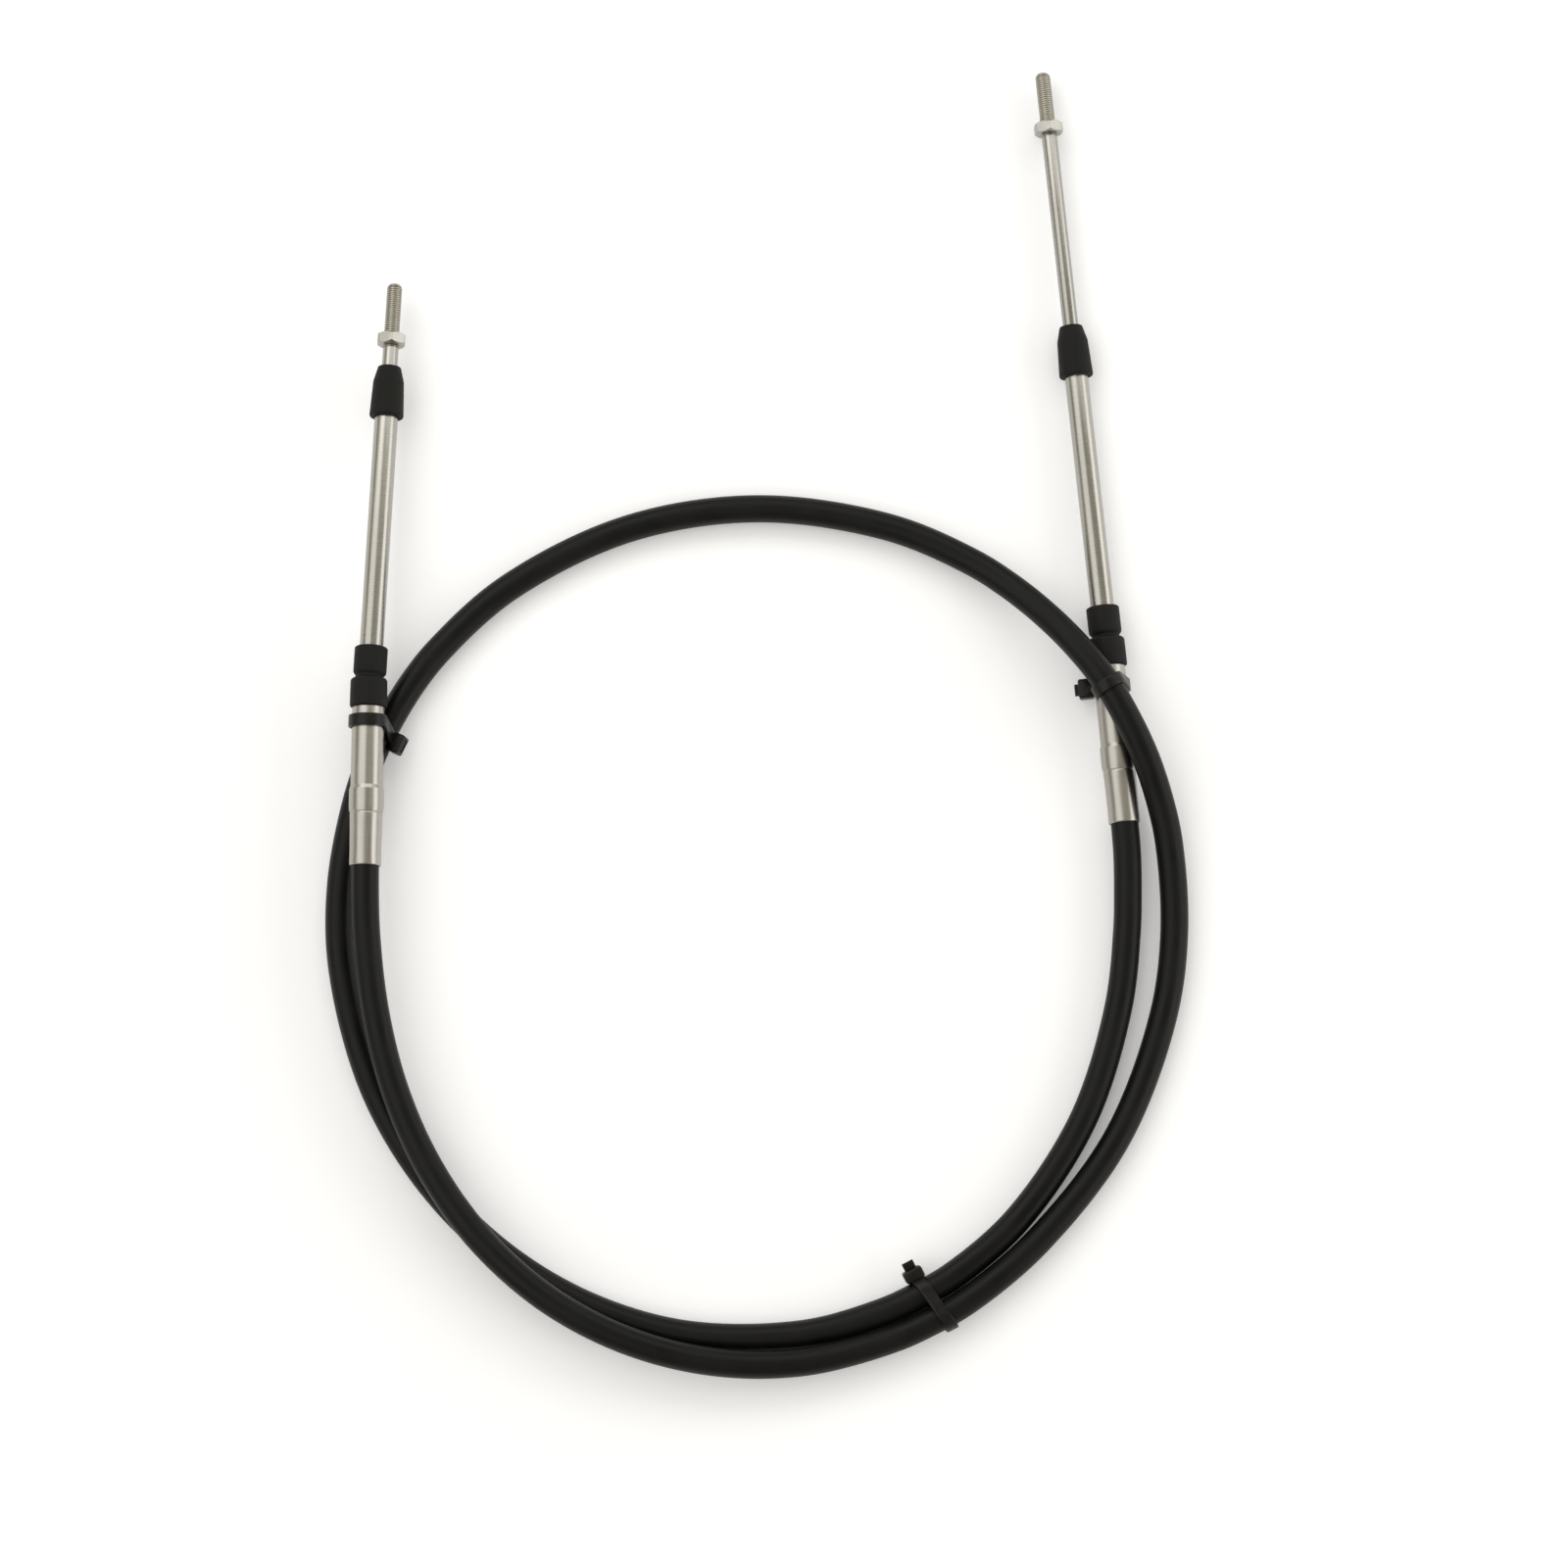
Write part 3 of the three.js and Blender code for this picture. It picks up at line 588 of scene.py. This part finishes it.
# %% [markdown]
# Wiper seals
#
# A wiper seal is a rubber sleeve pushed over the tube's open end, with a cone that wipes the rod clean. The
# sleeve swells towards its open edge, and the cone ends in a flat lip round the rod.

# %% Wiper seals
WIPER = [
    (113.5, 4.8, 0.15), (113.3, 6.6, 0.3), (113.9, 6.95, 0.35), (120.0, 6.65, 0), (128.3, 6.25, 0.3),
    (134.2, 4.75, 0.15), (134.5, 4.5, 0.15), (134.5, 3.22, 0.1), (128.1, 3.22, 0), (128.1, 4.8, 0),
]
for side in ENDS:
    piece = smooth(turned(f"{side}_wiper_seal_moulded", WIPER), 35)
    lay(piece, side, tube_way(side))
    show(piece, f"{side}_tube", seal_rubber, f"{side}_wiper_seal")

# %% [markdown]
# Swivel seals
#
# The sleeve over the ball joint has two bulges with a groove between them. The lower one grips the hub, the
# upper one the tube, and on the real seal the groove bends as the tube tilts; here it is bent once, to the
# tube's present tilt.

# %% Swivel seals
SWIVEL = [
    (-7.9, 5.6, 0.1), (-8.2, 7.0, 0.35), (-7.6, 7.5, 0.45), (-2.0, 7.45, 0), (3.15, 7.38, 0.8),
    (4.0, 5.8, 0.2), (4.25, 5.6, 0), (4.5, 5.58, 0), (4.75, 5.6, 0), (5.0, 5.85, 0.2), (5.8, 6.6, 0.5),
    (7.2, 6.68, 0), (15.8, 6.68, 0), (16.5, 6.5, 0.6), (16.6, 4.8, 0.15), (6.4, 4.8, 0), (5.0, 3.9, 0),
    (3.1, 3.9, 0), (3.1, 5.6, 0),
]
GROOVE_FROM, GROOVE_TO = 4.0, 5.0


def bend(piece, turn):
    """Turn what lies above the groove about the ball, with the groove's own rows shared out between."""
    still = Quaternion()
    for vertex in piece.data.vertices:
        share = (vertex.co.z / MM - GROOVE_FROM) / (GROOVE_TO - GROOVE_FROM)
        vertex.co = still.slerp(turn, min(max(share, 0.0), 1.0)) @ vertex.co


for side, end in ENDS.items():
    piece = turned(f"{side}_swivel_seal_moulded", SWIVEL)
    upright = Vector((0, 0, 1))
    hub_turn = upright.rotation_difference(hub_way(side))
    tube_turn = upright.rotation_difference(tube_way(side))
    bend(piece, hub_turn.inverted() @ tube_turn)
    smooth(piece, 35)
    lay(piece, side, hub_way(side))
    show(piece, None, seal_rubber, f"{side}_swivel_seal")
    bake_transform(piece)

# %% [markdown]
# The rods and their threads
#
# A rod is a polished bar whose outer end carries a rolled thread of 28 turns to the inch, for a ball joint
# or a clevis. A thread is one ridge wound round a core, so one tooth is drawn and the Screw modifier winds it
# up. Its two ends are cut square with bisect, and it is then cut to a turned blank with a chamfered tip, as
# the real bar is chamfered before it is rolled.

# %% Thread
PITCH = 25.4 / 28
THREAD_CREST, THREAD_ROOT = 3.1, 2.68
THREAD_START, THREAD_END = -27.0, -1.8  # mm along the rod, from its tip
THREAD_STEPS = 40
# One tooth: the share of the pitch, and the radius there
tooth = [
    (0.0, THREAD_ROOT), (0.1, THREAD_ROOT), (0.34, THREAD_CREST), (0.66, THREAD_CREST), (0.9, THREAD_ROOT),
    (1.0, THREAD_ROOT),
]


def apply(piece, kind, **settings):
    """Add a modifier, set it and make it part of the mesh."""
    only(piece)
    modifier = piece.modifiers.new(kind.lower(), kind)
    for name, value in settings.items():
        setattr(modifier, name, value)
    bpy.ops.object.modifier_apply(modifier=modifier.name)
    return piece


bpy.ops.object.select_all(action="DESELECT")
bpy.ops.mesh.primitive_plane_add(size=MM)
thread = bpy.context.active_object
bpy.ops.object.mode_set(mode="EDIT")
bpy.ops.mesh.select_all(action="SELECT")
bpy.ops.mesh.merge(type="CENTER")
bottom = THREAD_START - 2 * PITCH
places = [Vector((radius, 0, bottom + share * PITCH)) * MM for share, radius in tooth]
bpy.ops.transform.translate(value=places[0])
for start, end in zip(places, places[1:]):
    bpy.ops.mesh.extrude_region_move(TRANSFORM_OT_translate={"value": end - start})
bpy.ops.object.mode_set(mode="OBJECT")
turns = math.ceil(-bottom / PITCH) + 2
apply(
    thread, "SCREW", axis="Z", angle=math.tau, screw_offset=PITCH * MM, iterations=turns,
    steps=THREAD_STEPS, render_steps=THREAD_STEPS,
)
bpy.ops.object.mode_set(mode="EDIT")
bpy.ops.mesh.select_all(action="SELECT")
bpy.ops.mesh.remove_doubles(threshold=SAME_PLACE)
for height, outer in ((THREAD_START - 0.5, False), (0.0, True)):
    bpy.ops.mesh.select_all(action="SELECT")
    bpy.ops.mesh.bisect(
        plane_co=(0, 0, height * MM), plane_no=(0, 0, 1), use_fill=True,
        clear_outer=outer, clear_inner=not outer, threshold=SAME_PLACE / 100,
    )
bpy.ops.mesh.select_all(action="SELECT")
bpy.ops.mesh.normals_make_consistent(inside=False)
bpy.ops.object.mode_set(mode="OBJECT")
print("thread:", turns, "turns,", len(thread.data.polygons), "faces")

# %% Threaded end cut to its blank, and the plain bar
ROD_RADIUS, ROD_LENGTH = 3.175, 145.0
blank = turned("thread_blank", [
    (THREAD_START - 1.0, 0, 0), (THREAD_START - 1.0, 3.4, 0), (-1.9, 3.2, 0), (-0.9, 2.8, 0.3),
    (0, 2.1, 0.25), (0, 0, 0),
])
apply(thread, "BOOLEAN", operation="INTERSECT", object=blank, solver="EXACT")
bpy.data.objects.remove(blank)
bar = turned("bar", [
    (-ROD_LENGTH, 0, 0), (-ROD_LENGTH, ROD_RADIUS, 0.3), (THREAD_START, ROD_RADIUS, 0.25),
    (THREAD_START, 2.5, 0), (THREAD_START, 0, 0),
])
apply(bar, "BOOLEAN", operation="UNION", object=thread, solver="EXACT")
bpy.data.objects.remove(thread)
print("rod:", len(bar.data.polygons), "faces")

# %% [markdown]
# Two finishes on one rod
#
# The thread is duller and darker than the bar, because its flanks face each other and hold grime, while the
# turned tip is bright again. The same piece carries both finishes: the thread's faces take the second one.

# %% Rods
def finish_thread(piece, way, side):
    """Give the second finish to the faces between the thread's start and the tip's chamfer."""
    piece.data.materials.append(rolled_thread)
    origin = ENDS[side]["ball"] * MM
    start = (ENDS[side]["rod_tip"] + THREAD_START + 0.05) * MM
    end = (ENDS[side]["rod_tip"] + THREAD_END) * MM
    threaded = 0
    for face in piece.data.polygons:
        if start < (face.center - origin).dot(way) < end:
            face.material_index = 1
            threaded += 1
    print(piece.name, "has", threaded, "threaded faces")


smooth(bar, 28)
for side, end in ENDS.items():
    piece = bar.copy()
    piece.data = bar.data.copy()
    piece.name = f"{side}_rod_threaded"
    bpy.context.scene.collection.objects.link(piece)
    lay(piece, side, tube_way(side), end["rod_tip"])
    show(piece, f"{side}_rod_end", polished_rod, f"{side}_rod")
    finish_thread(piece, tube_way(side), side)
bpy.data.objects.remove(bar)

# %% [markdown]
# Jam nuts
#
# A jam nut is a slice of hexagon bar whose corners are turned down to a cone on both faces, with a
# countersink where the thread starts. So a hexagon is cut to a turned blank and then bored, in the order of
# the real work. The corner arcs that this leaves on the flats are what makes a nut look like a nut.

# %% Jam nuts
NUT_ACROSS_FLATS = 11.11
NUT_THICKNESS = 4.8
NUT_BELOW_TIP = 26.2
NUT_EDGE = 0.15
NUT_BORE, NUT_SINK = 2.9, 4.2  # radii of the bore and of its countersinks' tools
nut_corner = NUT_ACROSS_FLATS / math.sqrt(3)
nut_flat = NUT_ACROSS_FLATS / 2
nut_face = nut_flat - 0.6
corner_drop = (nut_corner - nut_flat) * 1.1

bpy.ops.object.select_all(action="DESELECT")
bpy.ops.mesh.primitive_cylinder_add(
    vertices=6, radius=nut_corner * MM, depth=NUT_THICKNESS * MM, location=(0, 0, NUT_THICKNESS / 2 * MM),
)
nut = bpy.context.active_object
nut.name = "nut"
bpy.ops.object.transform_apply(location=True)
heights = [v.co.z for v in nut.data.vertices]
select_edges(nut, lambda a, b: abs(heights[a] - heights[b]) > SAME_PLACE)
bpy.ops.mesh.bevel(offset=NUT_EDGE * MM, segments=2, affect="EDGES")
bpy.ops.object.mode_set(mode="OBJECT")
blank = turned("nut_blank", [
    (-0.1, 0, 0), (-0.1, nut_face, 0), (corner_drop, nut_corner + 0.05, 0),
    (NUT_THICKNESS - corner_drop, nut_corner + 0.05, 0), (NUT_THICKNESS + 0.1, nut_face, 0),
    (NUT_THICKNESS + 0.1, 0, 0),
])
bore = turned("nut_bore", [
    (-1.0, 0, 0), (-1.0, NUT_SINK, 0), (0.45, NUT_BORE, 0), (NUT_THICKNESS - 0.45, NUT_BORE, 0),
    (NUT_THICKNESS + 1.0, NUT_SINK, 0), (NUT_THICKNESS + 1.0, 0, 0),
])
apply(nut, "BOOLEAN", operation="INTERSECT", object=blank, solver="EXACT")
apply(nut, "BOOLEAN", operation="DIFFERENCE", object=bore, solver="EXACT")
for cutter in (blank, bore):
    bpy.data.objects.remove(cutter)
smooth(nut, 25)
for side, end in ENDS.items():
    piece = nut.copy()
    piece.data = nut.data.copy()
    piece.name = f"{side}_jam_nut_plated"
    bpy.context.scene.collection.objects.link(piece)
    lay(piece, side, tube_way(side), end["rod_tip"] - NUT_BELOW_TIP, end["nut_turn"] - 90)
    show(piece, f"{side}_rod_end", plated_steel, f"{side}_jam_nut")
bpy.data.objects.remove(nut)

# %% [markdown]
# Moulded black nylon
#
# Cable ties are injection-moulded nylon. It is black but not quite opaque, so thin straps look a little
# brown, and its skin is glossier than rubber, with soft flow marks from the mould.

# %% Nylon material
tie_nylon, tree, shader = new_material("moulded_black_nylon")
here = add(tree, "ShaderNodeTexCoord").outputs["Object"]
flow = add(tree, "ShaderNodeTexNoise", {"Vector": here, "Scale": 260, "Detail": 3, "Distortion": 0.6})
pits = add(tree, "ShaderNodeTexNoise", {"Vector": here, "Scale": 1800, "Detail": 2})
tree.links.new(
    ramp(tree, flow.outputs["Fac"], colour("#0b0b0a"), colour("#131210")), shader.inputs["Base Color"]
)
sheen = add(tree, "ShaderNodeMapRange", {
    "Value": flow.outputs["Fac"], "From Min": 0.3, "From Max": 0.7, "To Min": 0.28, "To Max": 0.45,
})
tree.links.new(sheen.outputs["Result"], shader.inputs["Roughness"])
pits_bump = add(tree, "ShaderNodeBump", {
    "Height": pits.outputs["Fac"], "Strength": 0.25, "Distance": 0.00004,
})
tree.links.new(pits_bump.outputs["Normal"], shader.inputs["Normal"])
shader.inputs["IOR"].default_value = 1.53
shader.inputs["Specular IOR Level"].default_value = 0.22

# %% [markdown]
# The ties' loops
#
# A tie runs round two things at once: half round one, straight across, half round the other. Where they cross
# at an angle, the strap twists on the way so that it lies flat on each. Its middle line is worked out first,
# as a list of rows, each with a place, the way that the strap's outside faces and the way of its width.

# %% The line of a tie
TIE_WIDTH = 4.8
TIE_OUTSIDE = 1.4  # from what the tie holds to the strap's outer face
STRAP_THICKNESS = 1.2
HUB_RADIUS = 6.5


def round_thing(centre, axis, radius):
    return {"centre": centre, "axis": axis.normalized(), "radius": radius}


def cable_at(x, y):
    """The cable where it runs nearest to a place on the floor."""
    near = min(range(1, len(centreline) - 1), key=lambda i: (centreline[i].xy - Vector((x, y))).length)
    return round_thing(centreline[near], centreline[near + 1] - centreline[near - 1], JACKET_RADIUS)


def tie_rows(first, second, arc_steps, span_steps, lean):
    """Rows of a closed strap round two round things: (place, outside, width way). A strap with a lean runs
    that far along them for each millimetre across."""
    one, two = first["axis"], second["axis"]
    if one.dot(two) < 0:
        two = -two
    along = (one + two).normalized()
    ahead = second["centre"] - first["centre"]
    ahead -= ahead.dot(along) * along
    distance = ahead.length
    ahead.normalize()
    across = along.cross(ahead)
    leave = math.acos((first["radius"] - second["radius"]) / distance)

    def row(thing, axis, angle):
        outward = math.cos(angle) * ahead + math.sin(angle) * across
        outward = (outward - outward.dot(axis) * axis).normalized()
        reach = thing["radius"] + TIE_OUTSIDE - STRAP_THICKNESS / 2
        return thing["centre"] + reach * outward, outward, axis

    def arc(thing, axis, start, end):
        return [row(thing, axis, start + (end - start) * i / arc_steps) for i in range(arc_steps + 1)]

    def span(start, end):
        shares = [i / span_steps for i in range(1, span_steps)]
        return [
            (
                start[0].lerp(end[0], s),
                start[1].lerp(end[1], s).normalized(),
                start[2].lerp(end[2], s).normalized(),
            )
            for s in shares
        ]

    round_first = arc(first, one, leave, math.tau - leave)
    round_second = arc(second, two, -leave, leave)
    rows = [
        *round_first, *span(round_first[-1], round_second[0]),
        *round_second, *span(round_second[-1], round_first[0]),
    ]
    middle = (first["centre"] + second["centre"]) / 2
    return [
        (place + lean * (place - middle).dot(ahead) * along, outside, axis) for place, outside, axis in rows
    ]


# %% [markdown]
# Strap, head and tail
#
# A strap is a ribbon: a grid with one row for each place on the line, closed by a bridge between its ends,
# then given its thickness and its small round edges by modifiers. Its rows are set by code and not by hand,
# because each lies at its own twist. The head is a box with bevelled edges and a slot sunk into its outer
# face, and the cut tail stands in the slot, with the fine teeth that the catch holds.

# %% The strap
def strap(name, rows):
    """A closed ribbon through the rows, with thickness."""
    bpy.ops.object.select_all(action="DESELECT")
    bpy.ops.mesh.primitive_grid_add(x_subdivisions=4, y_subdivisions=len(rows) - 1, size=2)
    piece = bpy.context.active_object
    piece.name = name
    mesh = piece.data
    columns = sorted({round(v.co.x, 5) for v in mesh.vertices})
    lines = sorted({round(v.co.y, 5) for v in mesh.vertices})
    for vertex in mesh.vertices:
        place, outside, axis = rows[min(range(len(lines)), key=lambda i: abs(lines[i] - vertex.co.y))]
        sideways = (axis - axis.dot(outside) * outside).normalized()
        vertex.co = (place + sideways * vertex.co.x * TIE_WIDTH / 2) * MM
    ends = [rows[0][0], rows[-1][0]]
    per_row = len(columns)
    last_row = per_row * (len(rows) - 1)
    select_edges(piece, lambda a, b: b - a == 1 and (b < per_row or a >= last_row))
    bpy.ops.mesh.bridge_edge_loops()
    bpy.ops.mesh.select_all(action="SELECT")
    bpy.ops.mesh.normals_make_consistent(inside=False)
    bpy.ops.object.mode_set(mode="OBJECT")
    print(name, "rows", len(rows), "columns", per_row, "ends apart", round((ends[0] - ends[1]).length, 2))
    apply(piece, "SOLIDIFY", thickness=STRAP_THICKNESS * MM, offset=0, use_even_offset=True)
    apply(piece, "BEVEL", width=0.3 * MM, segments=2, limit_method="ANGLE", angle_limit=math.radians(60))
    return piece


# %% The head
HEAD_WIDTH, HEAD_LENGTH = 8.0, 5.9
HEAD_BELOW = 0.5  # how far it reaches in below the strap's middle
HEAD_ROUNDING = 1.0
SLOT_WIDTH, SLOT_LENGTH, SLOT_DEPTH = 5.3, 2.4, 2.2
CATCH = (3.4, 0.8, 1.6)
TAIL_THICKNESS, TAIL_START = 1.2, 0.8
TOOTH_WIDTH, TOOTH_SIZE, TOOTH_SPACING = 3.2, 0.35, 0.9


def box(name, size, centre):
    """A box in mm, as a mesh with its size applied."""
    bpy.ops.object.select_all(action="DESELECT")
    bpy.ops.mesh.primitive_cube_add(size=MM, location=centre * MM)
    piece = bpy.context.active_object
    piece.name = name
    piece.scale = size
    bpy.ops.object.transform_apply(location=True, rotation=True, scale=True)
    return piece


def head(name, height, tail):
    """A tie's head with the strap's middle at z = 0, its width along X, its slot open to +Z, a tail in it."""
    size = (HEAD_WIDTH, HEAD_LENGTH, HEAD_BELOW + height)
    piece = box(name, size, Vector((0, 0, (height - HEAD_BELOW) / 2)))
    bpy.ops.object.mode_set(mode="EDIT")
    bpy.ops.mesh.select_mode(type="EDGE")
    bpy.ops.mesh.select_all(action="SELECT")
    bpy.ops.mesh.bevel(offset=HEAD_ROUNDING * MM, segments=3, affect="EDGES", clamp_overlap=True)
    bpy.ops.object.mode_set(mode="OBJECT")
    slot = box("slot", (SLOT_WIDTH, SLOT_LENGTH, 2 * SLOT_DEPTH), Vector((0, 0, height)))
    apply(piece, "BOOLEAN", operation="DIFFERENCE", object=slot, solver="EXACT")
    catch = box("catch", CATCH, Vector((0, -0.75, height - 1.5)))
    reach = height + tail
    size = (TIE_WIDTH, TAIL_THICKNESS, reach - TAIL_START)
    end = box("tail", size, Vector((0, 0.35, (reach + TAIL_START) / 2)))
    apply(end, "BEVEL", width=0.25 * MM, segments=2, limit_method="ANGLE", angle_limit=math.radians(60))
    added = [catch, end]
    tooth = height - SLOT_DEPTH + 0.4
    while tooth < reach - 0.5:
        added.append(box("tooth", (TOOTH_WIDTH, TOOTH_SIZE, TOOTH_SIZE), Vector((0, -0.3, tooth))))
        tooth += TOOTH_SPACING
    for part in added:
        apply(piece, "BOOLEAN", operation="UNION", object=part, solver="EXACT")
    for part in [slot, *added]:
        bpy.data.objects.remove(part)
    return piece


# %% Ties
def tie(name, first, second, facing, height, tail, lean=0.0):
    """A strap round two things with its head where the strap faces that way, made one piece."""
    rows = tie_rows(first, second, 10, 3, lean)
    facing = Vector(facing).normalized()
    place, outside, axis = max(
        rows, key=lambda r: r[1].dot(facing) - 0.002 * (r[0] - second["centre"]).length
    )
    piece = strap(name, tie_rows(first, second, 30, 8, lean))
    top = head("head", height, tail)
    sideways = (axis - axis.dot(outside) * outside).normalized()
    lengthways = outside.cross(sideways)
    for vertex in top.data.vertices:
        x, y, z = vertex.co
        vertex.co = place * MM + x * sideways + y * lengthways + z * outside
    apply(piece, "BOOLEAN", operation="UNION", object=top, solver="EXACT")
    bpy.data.objects.remove(top)
    smooth(piece, 40)
    return show(piece, "cable", tie_nylon, name.replace("_nylon", ""))


def hub_at(side, back):
    return round_thing(on_hub(ENDS[side], back), heading(ENDS[side]["hub_lean"], 0), HUB_RADIUS)


tie("tie_left_nylon", hub_at("left", 13.9), cable_at(-147.1, -19.0), (0.9, -0.4, 0.3), 4.4, 0.0)
tie("tie_right_nylon", hub_at("right", 16.3), cable_at(145.5, -0.8), (-1, -0.09, 0), 5.8, 1.6)
tie("tie_bottom_nylon", cable_at(76.7, -251.1), cable_at(72.3, -240.6), (-0.4, 0.9, 0.1), 4.4, 3.2, -0.2)

# %% [markdown]
# Floor and light
#
# The photograph is a studio picture: a white floor and large soft lamps on both sides, with a darker gap
# above where the camera stands. The gap matters more than the lamps: it is the dark band down the middle of
# every steel tube, and without it the metal looks like grey plastic.

# %% Floor
floor_paint, tree, shader = new_material("matt_white_floor_paint")
here = add(tree, "ShaderNodeTexCoord").outputs["Object"]
mottle = add(tree, "ShaderNodeTexNoise", {"Vector": here, "Scale": 6, "Detail": 3})
tree.links.new(
    ramp(tree, mottle.outputs["Fac"], colour("#f1f2f5"), colour("#f4f5f8")), shader.inputs["Base Color"]
)
shader.inputs["Roughness"].default_value = 0.9
shader.inputs["Specular IOR Level"].default_value = 0.2
shader.inputs["Emission Color"].default_value = colour("#fbfbff")
shader.inputs["Emission Strength"].default_value = 0.2
bpy.ops.object.select_all(action="DESELECT")
bpy.ops.mesh.primitive_plane_add(size=12, location=(0, 0, -0.0002))
floor = bpy.context.active_object
floor.name = "studio_floor"
floor.data.materials.append(floor_paint)

# %% Lamps
world = bpy.data.worlds.new("studio_air")
world.use_nodes = True
background = world.node_tree.nodes["Background"]
background.inputs["Color"].default_value = colour("#f2ecd9")
background.inputs["Strength"].default_value = 0.5
bpy.context.scene.world = world

LAMP_DISTANCE = 2.0
# Name: (tilt from overhead in degrees, the way that it leans, size in m, brightness)
LAMPS = {
    "softbox_left": (36, (-1, 0), (3.0, 1.9), 1.12),
    "softbox_right": (67, (1, 0), (3.0, 1.2), 1.75),
    "softbox_back": (45, (0, 1), (3.0, 1.0), 1.4),
}
for name, (tilt, (x, y), size, brightness) in LAMPS.items():
    tilt = math.radians(tilt)
    way = Vector((x * math.sin(tilt), y * math.sin(tilt), math.cos(tilt)))
    bpy.ops.object.light_add(
        type="AREA", location=LAMP_DISTANCE * way, rotation=way.to_track_quat("Z", "Y").to_euler(),
    )
    lamp = bpy.context.active_object
    lamp.name = name
    lamp.data.shape = "RECTANGLE"
    lamp.data.size, lamp.data.size_y = size
    lamp.data.energy = math.pi * size[0] * size[1] * brightness
    lamp.visible_camera = False
print("lamps:", ", ".join(LAMPS))
